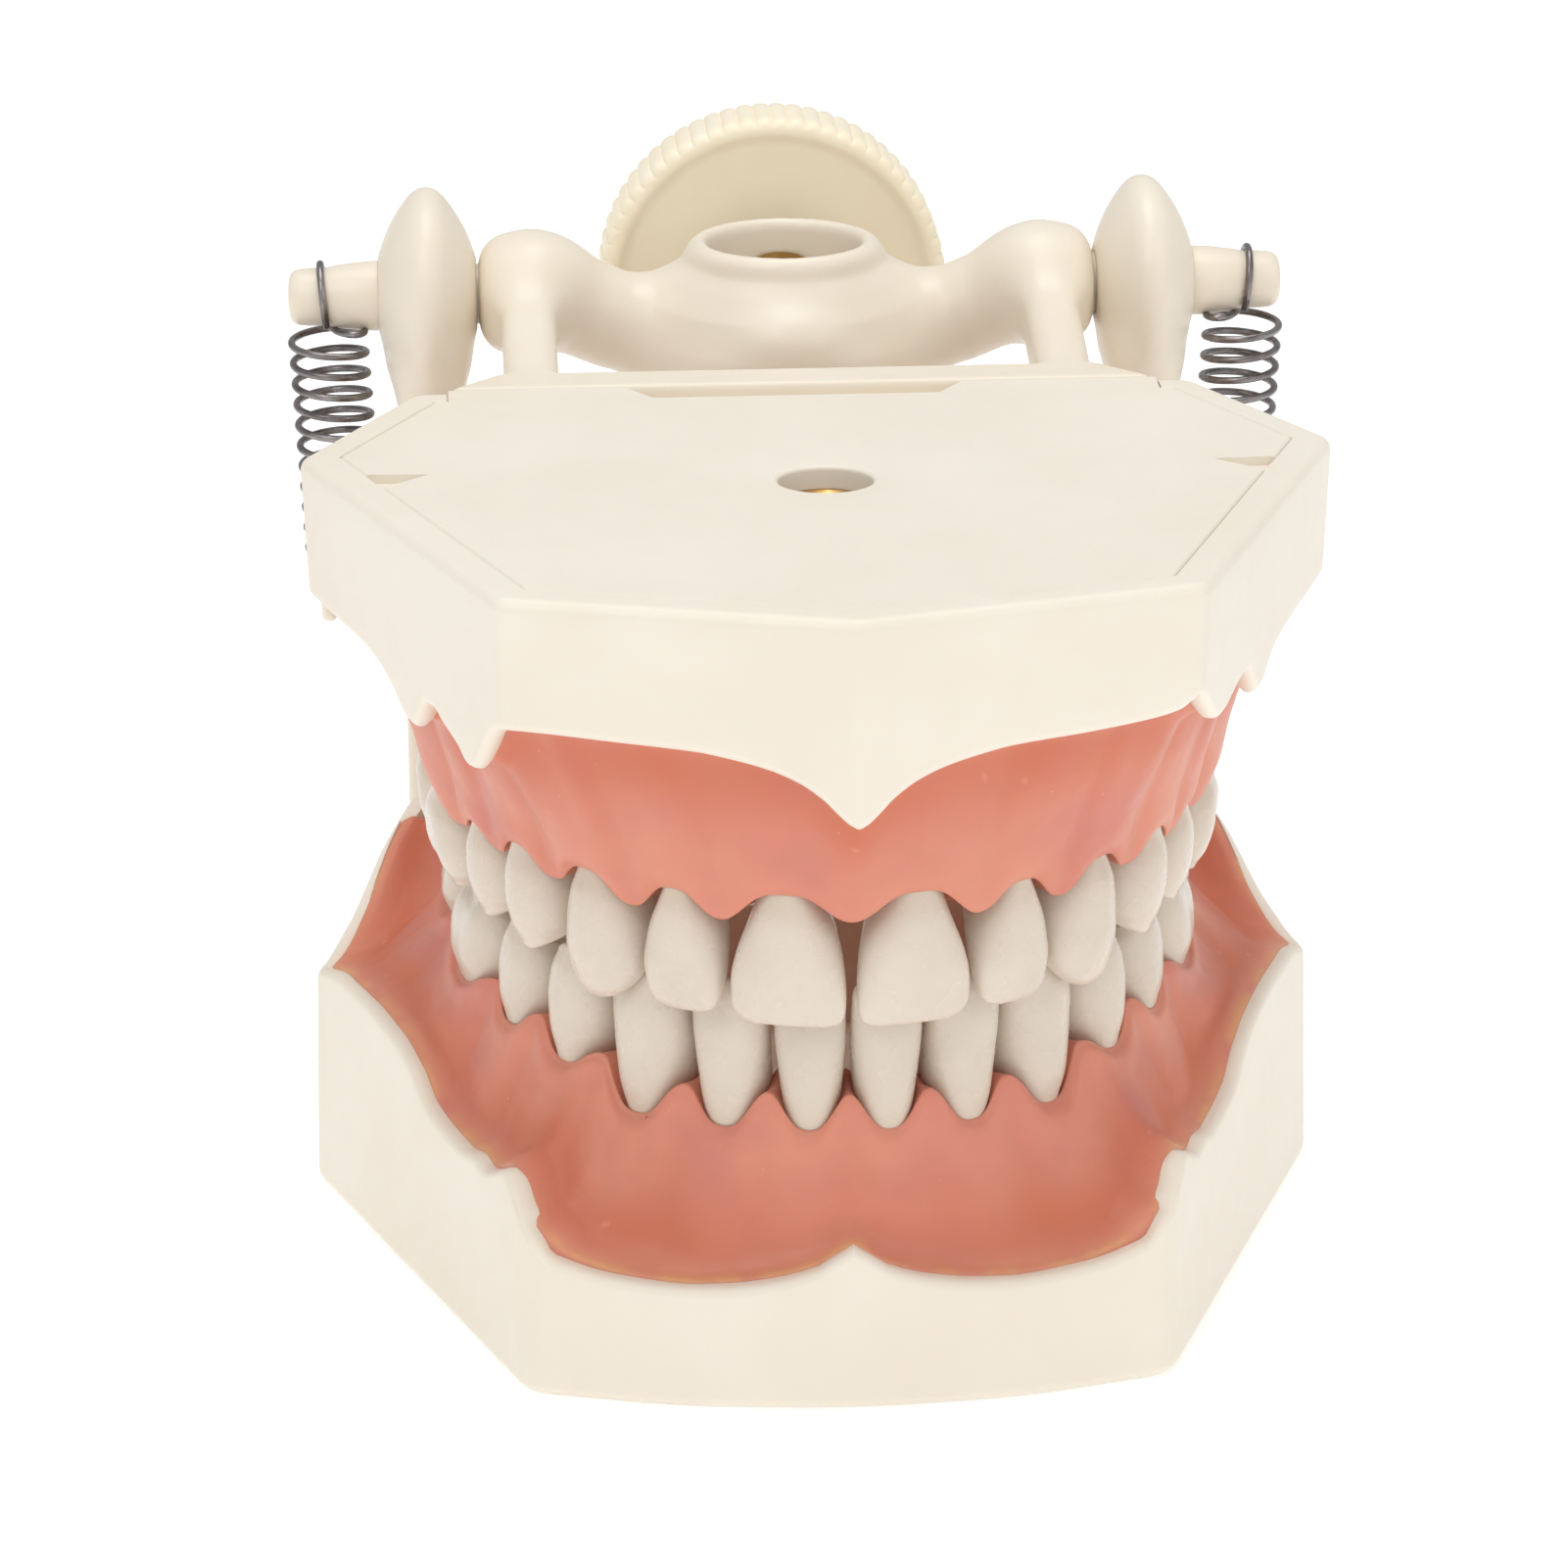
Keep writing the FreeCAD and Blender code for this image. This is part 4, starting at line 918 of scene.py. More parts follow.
def gum_rows(arch, run, reach, rim, edge_inset):
    """The knots of a gum's section at every column, from its foot in the base to its inner margin."""
    up = arch.up
    number, share, beyond = tooth_shares(arch, run)
    depth = np.array([t[2] for t in arch.teeth])[number]
    gumline = np.array([t[3] for t in arch.teeth])[number]
    near = np.clip((np.abs(share) - 0.2) / 0.78, 0, 1)
    scallop = near * near * (3 - 2 * near)
    slim = np.array([1.0, 1.0, 0.95, 0.75, 0.68, 0.55, 0.5])[number]
    peak = blurred(gumline, 8) + arch.papilla * blurred(slim, 6)
    pad_share = np.clip((np.abs(run) - arch.end) / 6.0, 0, 1)
    margin = gumline + (peak - gumline) * scallop
    pad_z = gumline + (rim - gumline) * pad_share + up * 0.6
    margin = np.where(beyond, pad_z, margin)
    margin = blurred(margin, 0.38 / GUM_STEP)
    neck = blurred(np.where(beyond, 3.2, depth * 0.5 * (0.86 - 0.20 * np.abs(share) ** 3)), 0.4 / GUM_STEP)
    out = neck + 0.16
    span = reach - out
    rise = margin - rim
    tongue_side = depth * 0.5 * (0.88 - 0.16 * np.abs(share) ** 3)
    inner = blurred(np.where(beyond, 3.6, tongue_side), 0.6 / GUM_STEP) + 0.3
    inner_margin = margin + up * 0.4
    crevice = np.where(beyond, 0.1, 0.1 + 0.6 * (1 - scallop))
    crest = np.where(beyond, 0.3, 1.0 - 0.75 * scallop)
    roll = np.minimum(1.0, span * 0.25)
    fold = np.maximum(span * 0.36, np.minimum(span * 0.5, 1.9))
    rows = [
        (reach - (INNER_INSET - edge_inset), np.full(len(run), arch.floor_z)),
        (reach - 0.1, rim - up * 1.2),
        (reach, rim - up * 0.1),
        (reach - 0.22, rim + up * 0.22),
        (reach - roll, rim + up * 0.55),
        (reach - fold, rim + rise * 0.13 + up * 0.2),
        (reach - span * 0.58, rim + rise * 0.4),
        (reach - span * 0.8, rim + rise * 0.68),
        (out + span * 0.07 + 0.1, rim + rise * 0.9),
        (out + 0.08, margin - up * 0.3),
        (out - 0.2, margin),
        (out - 0.75, margin - up * crevice),
        (out * 0.0, margin - up * crest),
        (-inner + 0.75, inner_margin - up * crevice),
        (-inner + 0.15, inner_margin),
        (-inner - 0.25, inner_margin - up * 0.4),
    ]
    steps = [3, 2, 2, 3, 6, 8, 8, 7, 4, 3, 3, 4, 4, 3, 3]
    return rows, steps, number, share, beyond, inner_margin, inner


def gum_object(name, points, faces, fold, root, edge, body):
    """A gum piece, with its colour weights kept on its points."""
    piece = add_piece(name, points, faces, MATERIALS[GUM], body, [name])
    place = {tuple(np.round(p, 3)): k for k, p in enumerate(points)}
    for label, values in (("fold", fold), ("root", root), ("edge", edge)):
        layer = piece.data.attributes.new(label, "FLOAT", "POINT")
        spots = [tuple(np.round(np.array(v.co) / MM, 3)) for v in piece.data.vertices]
        kept = [float(values[place.get(spot, 0)]) for spot in spots]
        layer.data.foreach_set("value", kept)
    return piece


# How far the gum swells over each tooth's root, from the front tooth back.
EMINENCE = {
    "lower": [0.42, 0.45, 0.85, 0.5, 0.4, 0.4, 0.35],
    "upper": [0.35, 0.4, 0.8, 0.45, 0.35, 0.35, 0.3],
}


def make_gum(jaw, arch, plan, rims, edge_inset, rim_shift, inner_rows):
    """One jaw's gum, swept along the arch from the right rear end to the left one."""
    end = arch.run[-1]
    count = int(2 * end / GUM_STEP)
    run = np.linspace(-end, end, count)
    x, y, heading = arch.at(run)
    reach, rim = wall_hits(plan, rims, edge_inset, x, y, heading)
    reach = blurred(reach, 1.2)
    rim = blurred(rim, 1.2) + rim_shift
    rows, steps, number, share, beyond, inner_margin, inner = gum_rows(arch, run, reach, rim, edge_inset)
    rows += [(-inner - d, z0 + (inner_margin - z0) * s) for d, z0, s in inner_rows]
    steps += [7] * len(inner_rows)
    rows = [np.stack([np.broadcast_to(a, count), np.broadcast_to(b, count)], 1) for a, b in rows]
    fine, places = fine_rows(rows, steps[:len(rows) - 1])
    outward, z = fine[:, :, 0].copy(), fine[:, :, 1].copy()
    facial = np.clip((places - 4.0) / 5.6, 0, 1)[:, None]
    bump = np.sin(math.pi * facial ** 0.85) ** 1.3
    lift = np.array(EMINENCE[jaw])[number] * (1.35 * np.cos(math.pi / 2 * share) ** 1.6 - 0.5)
    lift = blurred(np.where(beyond, 0.0, lift), 0.8 / GUM_STEP)
    outward += bump * lift
    out_x, out_y = np.sin(heading), -np.cos(heading)
    px, py = x + out_x * outward, y + out_y * outward
    uneven = waviness(px, py, z, 2.6) * 0.10 + waviness(px, py, z, 6.5) * 0.16
    soft = np.clip((places - 2.5) / 2, 0, 1)[:, None] * (places < places[-1] - 1)[:, None]
    px, py = px + out_x * uneven * soft, py + out_y * uneven * soft
    # Painted shade weight: strongest in the fold between the rim's roll and the gum's swell, and stronger
    # where the gum reaches further from the wall.
    fold = np.exp(-((places - 5.3) / 1.1) ** 2)[:, None] * np.clip((reach - 3.0) / 6.0, 0.25, 1.0)
    root = np.broadcast_to(bump, px.shape)
    edge = np.broadcast_to(np.exp(-((places - 2.9) / 0.75) ** 2)[:, None], px.shape)
    return px, py, z, np.broadcast_to(fold, px.shape), root, edge


def finish_lower_gum():
    inner_rows = [(1.2, LOWER_FLOOR_Z, 0.75), (2.1, LOWER_FLOOR_Z, 0.4), (3.4, LOWER_FLOOR_Z, 0.08),
                  (4.6, LOWER_FLOOR_Z, 0.0)]
    px, py, z, fold, root, edge = make_gum("lower", LOWER_ARCH, LOWER_PLAN, (LOWER_RIMS, LOWER_RIMS),
                                           WALL_DRAFT + RIM_T - 0.12, 0.0, inner_rows)
    stack = np.stack([px, py, z], -1).transpose(1, 0, 2)
    points, faces = bridge(stack, closed_rings=True)
    rows = stack.shape[1]
    faces += [list(range(rows)), list(range((len(stack) - 1) * rows, len(stack) * rows))]
    gum_object("lower_gum", points, faces, fold.T.ravel(), root.T.ravel(), edge.T.ravel(), "lower_jaw")


PALATE_RINGS = 22
PALATE_FRONT_Y = -15.0
VAULT_Z = 51.5


def finish_upper_gum():
    inner_rows = [(1.0, UPPER_FLOOR_Z, 0.82)]
    px, py, z, fold, root, edge = make_gum("upper", UPPER_ARCH, UPPER_PLAN, (UPPER_LEFT_RIMS, UPPER_RIMS),
                                           WALL_DRAFT + RIM_T + 0.15, 0.7, inner_rows)
    ax, ay, az = px[-1], py[-1], z[-1]
    low_y, high_y = ay.min(), ay.max()
    spine_y = PALATE_FRONT_Y + (ay - low_y) * (high_y - PALATE_FRONT_Y) / (high_y - low_y)
    extra = []
    for k in range(1, PALATE_RINGS + 1):
        share = k / PALATE_RINGS
        qx, qy = ax * (1 - share), ay + (spine_y - ay) * share
        vault = az + (VAULT_Z - az) * np.sin(math.pi / 2 * share) ** 0.75
        frontness = np.clip((2.0 - qy) / 16.0, 0, 1)
        rugae = np.sin(qy * 1.9 + np.abs(qx) * 0.5) * 0.35 * frontness * np.clip(np.abs(qx) / 3.0, 0, 1)
        rugae *= math.sin(math.pi * share) ** 0.5 if k < PALATE_RINGS else 0.0
        raphe = 0.35 * np.exp(-(qx / 1.2) ** 2)
        extra.append(np.stack([qx, qy, vault - rugae - raphe * min(1.0, 2 * share)], -1))
    skin = np.concatenate([np.stack([px, py, z], -1), extra])
    spine_floor = np.stack([0 * ax, spine_y, np.full(len(ax), UPPER_FLOOR_Z)], -1)
    stack = np.concatenate([skin, spine_floor[None]]).transpose(1, 0, 2)
    rows = stack.shape[1]
    points, faces = bridge(stack, closed_rings=True)
    spine = {rows - 2, rows - 1}
    faces = [f for f in faces if not {v % rows for v in f} == spine]
    faces += [list(range(rows)), list(range((len(stack) - 1) * rows, len(stack) * rows))]
    extra_rows = rows - len(px)
    fold = np.concatenate([fold, np.zeros((extra_rows, len(ax)))])
    root = np.concatenate([root, np.full((extra_rows, len(ax)), 0.3)])
    edge = np.concatenate([edge, np.zeros((extra_rows, len(ax)))])
    gum_object("upper_gum", points, faces, fold.T.ravel(), root.T.ravel(), edge.T.ravel(), "upper_jaw")


finish_lower_gum()
finish_upper_gum()


# Teeth

AROUND = 72


def signed_power(value, power):
    return np.sign(value) * np.abs(value) ** power


def side_tables(jaw, kind):
    """The tables of a front tooth's side towards the midline and its far side."""
    if jaw == "lower":
        both = LOWER_CANINE_SIDE if kind == "canine" else LOWER_SIDE
        return smooth_table(both), smooth_table(both)
    if kind == "canine":
        return smooth_table(CANINE_NEAR), smooth_table(CANINE_FAR)
    if kind == "lateral_incisor":
        return smooth_table(LATERAL_NEAR), smooth_table(LATERAL_FAR)
    return smooth_table(INCISOR_NEAR), smooth_table(INCISOR_FAR)


def front_tooth(jaw, kind, width, depth, gum_z, tip_z):
    """Rings of an incisor or canine, from inside the gum to its edge; its face is towards -Y."""
    turn = np.linspace(0, 2 * math.pi, AROUND, endpoint=False)
    c, s = np.cos(turn), np.sin(turn)
    height = tip_z - gum_z
    canine = kind == "canine"
    near_side, far_side = side_tables(jaw, kind)
    face = smooth_table([(-0.35, 0.36), (0.0, 0.43), (0.22, 0.5), (0.6, 0.49),
                         (1.0, 0.39 if canine else 0.41)])
    tongue = smooth_table([(-0.35, 0.42), (0.0, 0.47), (0.18, 0.5), (0.45, 0.26), (0.7, 0.02),
                           (1.0, -0.14 if canine else -0.24)])
    flat = smooth_table([(-0.35, 2.1), (0.0, 2.3), (0.5, 2.7), (1.0, 2.9)])
    edge_turn = np.linspace(0, math.pi / 2, 16)[1:]
    levels = np.concatenate([np.linspace(-0.35, 0.88, 36), 0.88 + 0.12 * np.sin(edge_turn)])
    rings = []
    half = width / 2 - 0.02
    for level in levels:
        across = signed_power(c, 2 / flat(level))
        x = half * across * np.where(across < 0, near_side(level), far_side(level))
        front = depth * face(level)
        back = depth * tongue(level)
        edge = math.sqrt(max(0.0, 1 - (max(level - 0.88, 0) / 0.12) ** 2))
        middle, thick = (back - front) / 2, (front + back) / 2 * (0.06 + 0.94 * edge)
        y = middle + thick * signed_power(s, 2 / flat(level))
        curve = (x / half) ** 2 * (0.12 if canine else 0.07) * depth * np.clip(level * 2, 0, 1)
        y = y + curve
        z = np.full(AROUND, gum_z + height * level)
        if canine:
            y = y - 0.26 * np.exp(-(x / 1.1) ** 2) * math.sin(math.pi * np.clip(level, 0, 1)) * (s < 0)
        elif jaw == "upper":
            groove = np.exp(-((np.abs(x) - half * 0.33) / 0.6) ** 2)
            y = y + 0.04 * groove * np.clip((level - 0.3) * 2, 0, 1) * (s < 0)
        rings.append(np.stack([x, y, z], 1))
    return rings


CUSPS = {
    "first_premolar": [(0.0, -0.30, 1.0), (0.0, 0.28, 0.86)],
    "second_premolar": [(0.0, -0.29, 1.0), (-0.08, 0.28, 0.93)],
    "upper_first_molar": [(-0.24, -0.30, 1.0), (0.24, -0.29, 0.96), (-0.22, 0.28, 0.98), (0.26, 0.26, 0.84)],
    "upper_second_molar": [(-0.24, -0.30, 1.0), (0.24, -0.28, 0.94), (-0.18, 0.28, 0.95), (0.26, 0.25, 0.74)],
    "lower_first_molar": [(-0.30, -0.28, 0.97), (0.05, -0.30, 0.95), (0.34, -0.18, 0.86), (-0.25, 0.28, 1.0),
                          (0.22, 0.28, 0.98)],
    "lower_second_molar": [(-0.25, -0.29, 0.98), (0.24, -0.29, 0.95), (-0.24, 0.28, 1.0), (0.24, 0.28, 0.97)],
}
CUSP_H = 2.3


def occlusal(x, y, width, depth, cusps):
    """How far below the highest tip the biting surface lies."""
    top = None
    for cx, cy, tall in cusps:
        far = np.sqrt(((x - cx * width) * 1.0) ** 2 + ((y - cy * depth) * 1.0) ** 2 + 0.5) - 0.7
        here = tall * CUSP_H - 0.62 * far
        top = here if top is None else -join(-top, -here, 0.28)
    return CUSP_H - top


def back_tooth(jaw, kind, width, depth, gum_z, tip_z, neck):
    """Rings of a premolar or molar, from inside the gum over its cusps to the middle of its top."""
    turn = np.linspace(0, 2 * math.pi, AROUND, endpoint=False)
    c, s = np.cos(turn), np.sin(turn)
    molar = kind.endswith("molar") and not kind.endswith("premolar")
    cusps = CUSPS.get(kind) or CUSPS[jaw + "_" + kind]
    power = 3.0 if molar else 2.5
    up = 1.0 if tip_z > gum_z else -1.0
    half_w, half_d = width / 2 - 0.08, depth / 2
    widths = smooth_table([(-0.35, neck * 0.9), (0.0, neck), (0.35, neck + (1 - neck) * 0.7), (0.62, 1.0),
                           (0.85, 0.97), (1.0, 0.84)])
    depths = smooth_table([(-0.35, 0.78), (0.0, 0.88), (0.3, 1.0), (0.55, 0.98), (0.8, 0.88), (1.0, 0.72)])
    across, along = signed_power(c, 2 / power), signed_power(s, 2 / power)
    groove = np.exp(-(across * half_w / 0.9) ** 2) * (s < 0) if molar else 0.0 * c
    edge_x, edge_y = half_w * 0.84 * across, half_d * 0.72 * along
    edge_z = tip_z - up * occlusal(edge_x, edge_y, width, depth, cusps)
    rings = []
    for level in np.concatenate([np.linspace(-0.35, 0.8, 26), np.linspace(0.84, 1.0, 6)]):
        x = half_w * widths(level) * across
        y = half_d * depths(level) * along + groove * 0.4 * np.clip(level * 1.6 - 0.3, 0, 1)
        rings.append(np.stack([x, y, gum_z + (edge_z - gum_z) * level], 1))
    for share in np.linspace(0.96, 0.0, 20):
        x, y = edge_x * share, edge_y * share
        rings.append(np.stack([x, y, tip_z - up * occlusal(x, y, width, depth, cusps)], 1))
    return rings


def soften(piece, repeats):
    """Even out a piece's edges."""
    shape = bmesh.new()
    shape.from_mesh(piece.data)
    for _ in range(repeats):
        bmesh.ops.smooth_vert(shape, verts=shape.verts, factor=0.5, use_axis_x=True, use_axis_y=True,
                              use_axis_z=True)
    shape.to_mesh(piece.data)
    shape.free()


def close_ends(faces, last, flat_end):
    """A cap over the first ring, and one over the last where it is not a point."""
    caps = [list(range(AROUND))]
    if flat_end:
        caps.append(list(range(last, last + AROUND)))
    return faces + caps


def make_tooth(jaw, side, arch, number):
    kind, width, depth, gum_z, tip_z, neck = arch.teeth[number]
    sign = 1.0 if side == "left" else -1.0
    is_front = number <= 2
    shape = (jaw, kind, width, depth, gum_z, tip_z)
    points, faces = bridge(front_tooth(*shape) if is_front else back_tooth(*shape, neck))
    last_ring = len(points) - AROUND
    faces = close_ends(faces, last_ring, is_front)
    points[:, 0] *= sign
    x, y, heading = arch.at(arch.centres[number] * sign)
    turn = Matrix.Rotation(float(heading), 3, "Z")
    points = points @ np.array(turn).T + np.array([float(x), float(y), 0.0])
    name = jaw + "_" + side + "_" + kind
    piece = add_piece(name, points, faces, MATERIALS[RESIN], jaw + "_jaw", [name])
    soften(piece, 1 if is_front else 2)
    span = tip_z - gum_z
    layer = piece.data.attributes.new("neck", "FLOAT", "POINT")
    heights = [1 - min(max((v.co.z / MM - gum_z) / span, 0), 1) for v in piece.data.vertices]
    layer.data.foreach_set("value", [h ** 3 for h in heights])


for jaw_name, jaw_arch in (("upper", UPPER_ARCH), ("lower", LOWER_ARCH)):
    for side_name in ("left", "right"):
        for tooth_number in range(len(jaw_arch.teeth)):
            make_tooth(jaw_name, side_name, jaw_arch, tooth_number)


# Hinge pins, springs, clamp and inserts

def lathe(profile, centre, axis, around):
    """Rings of (radius, place along the axis) about an axis along X or Y, closed at both ends."""
    turn = np.linspace(0, 2 * math.pi, around, endpoint=False)
    rings = []
    for radius, along in profile:
        a, b = radius * np.cos(turn), radius * np.sin(turn)
        flat = np.full(around, along)
        if axis == "X":
            rings.append(np.stack([flat, centre[1] + a, centre[2] + b], 1))
        else:
            rings.append(np.stack([centre[0] + a, flat, centre[2] + b], 1))
    return np.array(rings)


def make_pins():
    profile = [(0.0, 21.0), (2.2, 21.0), (2.5, 21.3), (2.5, 34.05), (2.85, 34.08), (2.92, 34.3), (2.88, 35.2),
               (2.78, 36.2), (2.6, 37.6), (2.44, 38.3), (2.4, 38.7), (2.42, 39.1), (2.4, 39.8), (2.34, 40.6),
               (2.22, 41.05), (1.95, 41.35), (1.5, 41.52), (0.8, 41.6), (0.0, 41.6)]
    for side, sign in (("left", 1.0), ("right", -1.0)):
        rings = lathe(profile, (0, HINGE_Y, HINGE_Z), "X", 48)
        points, faces = bridge(rings)
        points[:, 0] *= sign
        name = "hinge_pin_" + side
        add_piece(name, points, faces, MATERIALS[FRAME], "upper_jaw", [name], sharp_angle=40)


SPRING_TOP_X = 38.4
SPRING_BOTTOM_X = 37.4
SPRING_Y = 49.5
SPRING_R = 3.2
SPRING_PITCH = 1.77
SPRING_TURNS = 11
SPRING_BOTTOM_Z = 44.3
WIRE_R = 0.31
HOOK_TOP_X = 38.9
PIN_HOOK_R = 2.86
LUG_HOOK_R = 2.2


def spring_path():
    """The wire's middle line: lower hook, leaning coil, and upper hook."""
    steps = 30
    hook_turn = np.radians(np.linspace(315, 0, steps))
    lower = np.stack([np.full(steps, SPRING_BOTTOM_X), LUG_Y + LUG_HOOK_R * np.sin(hook_turn),
                      LUG_Z + LUG_HOOK_R * np.cos(hook_turn)], 1)
    turn = np.linspace(0, 2 * math.pi * SPRING_TURNS, SPRING_TURNS * 36)
    share = turn / turn[-1]
    axis_x = SPRING_BOTTOM_X + (SPRING_TOP_X - SPRING_BOTTOM_X) * share
    coil = np.stack([axis_x + SPRING_R * np.sin(turn), SPRING_Y - SPRING_R * np.cos(turn),
                     SPRING_BOTTOM_Z + SPRING_PITCH * turn / (2 * math.pi)], 1)
    hook_turn = np.radians(np.linspace(0, 315, steps))
    rise = (1 - np.cos(hook_turn)) / 2
    upper = np.stack([SPRING_TOP_X + (HOOK_TOP_X - SPRING_TOP_X) * rise,
                      HINGE_Y + PIN_HOOK_R * np.sin(hook_turn), HINGE_Z - PIN_HOOK_R * np.cos(hook_turn)], 1)
    path = np.concatenate([lower, coil[3:-3], upper])
    for _ in range(6):
        path[1:-1] = path[1:-1] * 0.6 + (path[:-2] + path[2:]) * 0.2
    return path


def wire(path, radius, sides):
    """Rings of a wire along a path, carried on without twisting, with rounded ends."""
    heading = np.gradient(path, axis=0)
    heading /= np.linalg.norm(heading, axis=1)[:, None]
    across = np.array([1.0, 0.0, 0.0])
    turn = np.linspace(0, 2 * math.pi, sides, endpoint=False)
    rings = []
    for point, ahead in zip(path, heading):
        across = across - ahead * (across @ ahead)
        across /= np.linalg.norm(across)
        other = np.cross(ahead, across)
        rings.append(point + radius * (np.cos(turn)[:, None] * across + np.sin(turn)[:, None] * other))
    for end, step in ((0, -1), (-1, 1)):
        tips = [path[end] + heading[end] * step * radius * h + (rings[end] - path[end]) * r
                for h, r in ((0.5, 0.8), (0.8, 0.45), (0.9, 0.0))]
        rings = tips[::-1] + rings if end == 0 else rings + tips
    return np.array(rings)


def make_springs():
    for side, sign in (("left", 1.0), ("right", -1.0)):
        points, faces = bridge(wire(spring_path(), WIRE_R, 12))
        points[:, 0] *= sign
        name = "spring_" + side
        add_piece(name, points, faces, MATERIALS[SPRING], "lower_jaw", [name])


KNOB_FRONT_Y = 69.0
KNOB_T = 7.8
KNOB_R = 15.1
KNOB_RIBS = 64


def make_knob():
    """The clamp's knurled knob, dished at the front."""
    back = KNOB_FRONT_Y + KNOB_T
    profile = [(0.0, 69.9), (5.0, 69.9), (9.0, 69.85), (12.6, 69.75), (13.3, 69.45), (13.6, 69.1),
               (13.9, KNOB_FRONT_Y), (14.2, KNOB_FRONT_Y), (14.6, 69.12), (14.95, 69.45), (KNOB_R, 70.0),
               (KNOB_R, 71.5), (KNOB_R, 73.0), (KNOB_R, 74.5), (KNOB_R, back - 1.0), (14.9, back - 0.5),
               (14.5, back - 0.15), (14.0, back), (12.8, back), (12.3, back - 0.25), (11.8, back - 0.5),
               (6.0, back - 0.5), (0.0, back - 0.5)]
    around = KNOB_RIBS * 10
    rings = lathe(profile, (0, 0, CLAMP_Z), "Y", around)
    turn = np.linspace(0, 2 * math.pi, around, endpoint=False)
    groove = np.abs(np.sin(turn * KNOB_RIBS / 2)) ** 0.6
    for ring, (radius, _) in zip(rings, profile):
        depth = 0.26 * np.clip((radius - 14.2) / 0.7, 0, 1)
        scale = 1 - depth * (1 - groove) / max(radius, 1.0)
        ring[:, 0] *= scale
        ring[:, 2] = CLAMP_Z + (ring[:, 2] - CLAMP_Z) * scale
    points, faces = bridge(rings)
    add_piece("clamp_knob", points, faces, MATERIALS[KNOB], "clamp_wheel", ["clamp_knob"],
              sharp_angle=50)


def threaded(start, end, radius, depth, pitch, around=48, per_turn=10):
    """Rings of a thread between two places, as (place, radius at every angle)."""
    turn = np.linspace(0, 1, around, endpoint=False)
    rows = int((end - start) / pitch * per_turn)
    for place in np.linspace(start, end, rows + 1):
        phase = (place / pitch - turn) % 1.0
        ridge = np.clip(np.abs(phase - 0.5) * 4 - 0.5, 0, 1)
        yield place, radius - depth * ridge


def make_clamp_screw():
    """The clamp's screw, with its thread and turned tip."""
    around = 48
    turn = np.linspace(0, 2 * math.pi, around, endpoint=False)
    rings = []
    sections = [(60.7, 0.0), (60.7, 1.4), (61.4, 1.5), (61.5, 1.6), (61.5, 3.2)]
    sections += list(threaded(62.0, 74.0, 4.0, 0.65, 1.25)) + [(74.4, 3.2), (74.4, 0.0)]
    for place, radius in sections:
        radius = np.broadcast_to(radius, around)
        x, z = radius * np.cos(turn), CLAMP_Z + radius * np.sin(turn)
        rings.append(np.stack([x, np.full(around, place), z], 1))
    points, faces = bridge(rings)
    add_piece("clamp_screw", points, faces, MATERIALS[STEEL], "clamp_wheel", ["clamp_screw"],
              sharp_angle=40)


def make_insert(name, inner_z, outer_z, body):
    """A knurled brass insert with a thread through it and a neck inside the plate's hole."""
    around = 96
    turn = np.linspace(0, 2 * math.pi, around, endpoint=False)
    knurl = 4.34 + 0.06 * np.cos(turn * 24)
    length = abs(outer_z - inner_z)
    neck_end = length + 1.3
    sections = [(0.0, 2.9), (0.0, 4.2), (0.2, knurl), (length - 0.2, knurl), (length, 4.2), (length, 3.6),
                (neck_end - 0.15, 3.58), (neck_end, 3.4), (neck_end, 3.0)]
    inner = list(threaded(0.3, neck_end - 0.2, 2.85, 0.4, 0.9, around))
    side = 1.0 if outer_z > inner_z else -1.0
    rings = []
    for place, radius in sections + inner[::-1]:
        radius = np.broadcast_to(radius, around)
        z = np.full(around, inner_z + side * place)
        rings.append(np.stack([radius * np.cos(turn), radius * np.sin(turn), z], 1))
    points, faces = bridge(rings, closed_stack=True)
    add_piece(name, points, faces, MATERIALS[BRASS], body, [name], sharp_angle=40)


make_pins()
make_springs()
make_knob()
make_clamp_screw()
make_insert("lower_insert", LOWER_FLOOR_Z, PLATE_T, "lower_jaw")
make_insert("upper_insert", UPPER_FLOOR_Z, TOP_Z - PLATE_T, "upper_jaw")
for kept_node, kept_slot in (("clamp_pad", STEEL), ("clamp_insert", BRASS), ("lower_tooth_screws", STEEL),
                             ("upper_tooth_screws", STEEL)):
    node_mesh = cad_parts[kept_node].data
    node_mesh.materials.clear()
    node_mesh.materials.append(MATERIALS[kept_slot])


# Floor, light and camera

def make_floor():
    """A flat, pale floor just under the object."""
    size = 2.2
    steps = 24
    line = np.linspace(-size, size, steps)
    gx, gy = np.meshgrid(line, line, indexing="ij")
    points = np.stack([gx, gy, np.full(gx.shape, -0.00005)], -1) / MM
    points, faces = bridge(points, closed_rings=False)
    mesh = bpy.data.meshes.new("floor")
    mesh.from_pydata((points * MM).tolist(), [], faces)
    floor = bpy.data.objects.new("floor", mesh)
    bpy.context.scene.collection.objects.link(floor)
    shader = Shader("floor_paper", 0.9)
    shader.colour(shader.mix(shader.noise(0.02, 2.0), srgb(252, 252, 252), srgb(249, 249, 249)))
    shader.main.inputs["Emission Color"].default_value = (1.0, 1.0, 1.0, 1.0)
    shader.main.inputs["Emission Strength"].default_value = 0.3
    mesh.materials.append(shader.material)


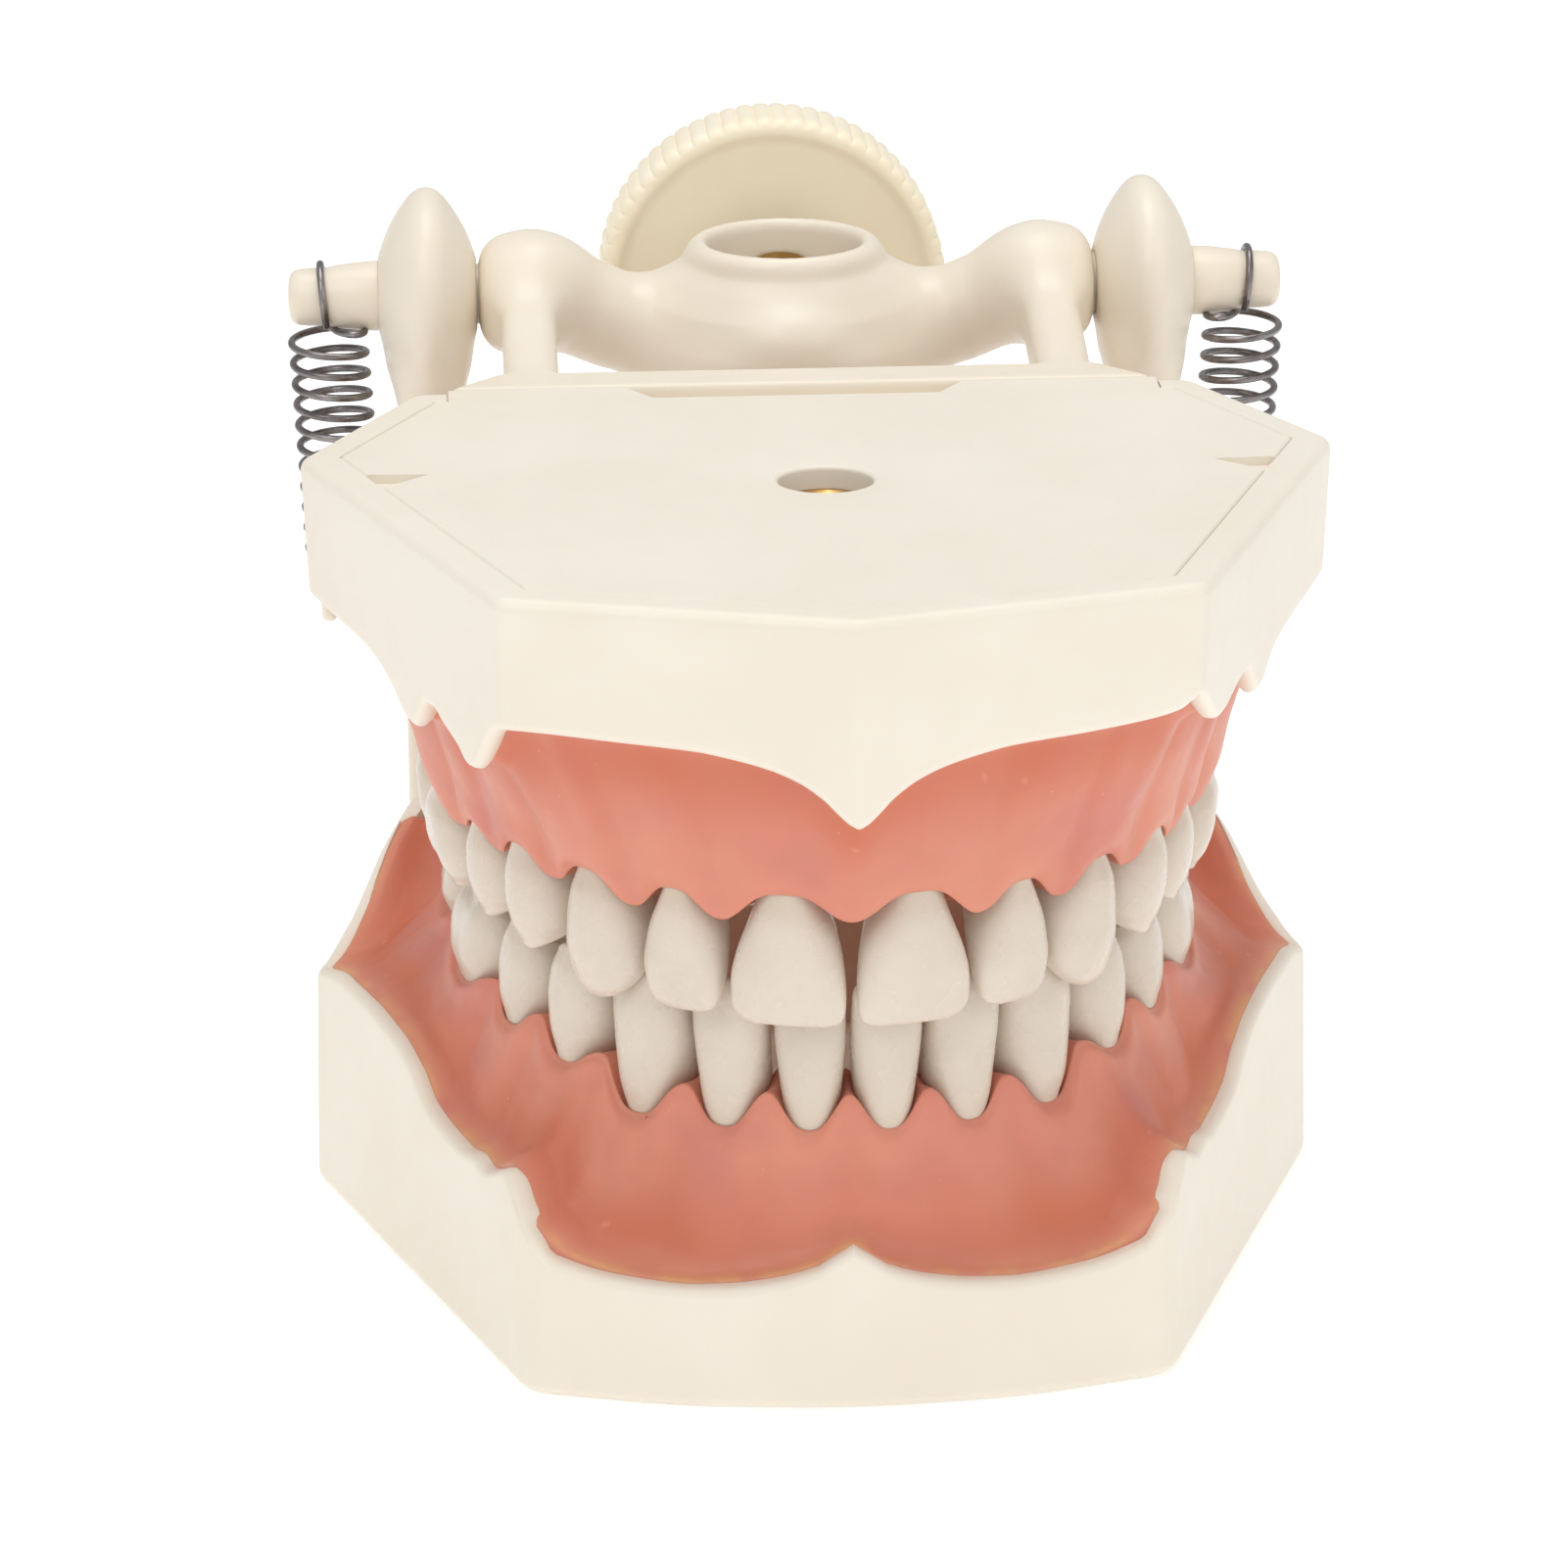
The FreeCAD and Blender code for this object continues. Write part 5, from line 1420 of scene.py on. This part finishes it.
def add_light(name, place, target, size, power, colour=(1.0, 1.0, 1.0)):
    data = bpy.data.lights.new(name, "AREA")
    data.shape = "DISK"
    data.size = size
    data.energy = power
    data.color = colour
    light = bpy.data.objects.new(name, data)
    bpy.context.scene.collection.objects.link(light)
    light.location = place
    light.rotation_euler = (Vector(target) - Vector(place)).to_track_quat("-Z", "Y").to_euler()


def make_world():
    world = bpy.data.worlds.new("studio")
    bpy.context.scene.world = world
    world.use_nodes = True
    world.node_tree.nodes["Background"].inputs["Color"].default_value = (1.0, 1.0, 1.0, 1.0)
    world.node_tree.nodes["Background"].inputs["Strength"].default_value = 0.52
    add_light("key", (-0.35, -0.55, 0.75), (0, 0, 0.03), 0.5, 1.7)
    add_light("fill", (0.6, -0.45, 0.4), (0, 0, 0.03), 0.6, 0.7)
    add_light("front", (0.05, -1.0, 0.3), (0, 0.05, 0.05), 0.9, 0.5)
    add_light("top", (0.0, 0.1, 0.9), (0, 0, 0.05), 0.6, 2.9)


CAMERA_TARGET = Vector((-2.781, 9.0, 36.243))
CAMERA_DISTANCE = 492.0
CAMERA_PITCH = math.radians(18.537)
CAMERA_YAW = math.radians(3.289)
CAMERA_ROLL = math.radians(-0.298)
CAMERA_LENS = 143.09


def make_camera():
    level = math.cos(CAMERA_PITCH)
    ahead = Vector((math.sin(CAMERA_YAW) * level, math.cos(CAMERA_YAW) * level, -math.sin(CAMERA_PITCH)))
    right = Vector((math.cos(CAMERA_YAW), -math.sin(CAMERA_YAW), 0))
    above = right.cross(ahead)
    c, s = math.cos(CAMERA_ROLL), math.sin(CAMERA_ROLL)
    right, above = right * c + above * s, above * c - right * s
    data = bpy.data.cameras.new("camera")
    data.sensor_width = 36.0
    data.lens = CAMERA_LENS
    data.clip_start = 0.01
    camera = bpy.data.objects.new("camera", data)
    bpy.context.scene.collection.objects.link(camera)
    place = (CAMERA_TARGET - ahead * CAMERA_DISTANCE) * MM
    camera.matrix_world = Matrix.Translation(place) @ Matrix((right, above, -ahead)).transposed().to_4x4()
    bpy.context.scene.camera = camera


make_floor()
make_world()
make_camera()
bpy.context.scene.view_settings.view_transform = "Standard"
bpy.context.scene.view_settings.look = "None"
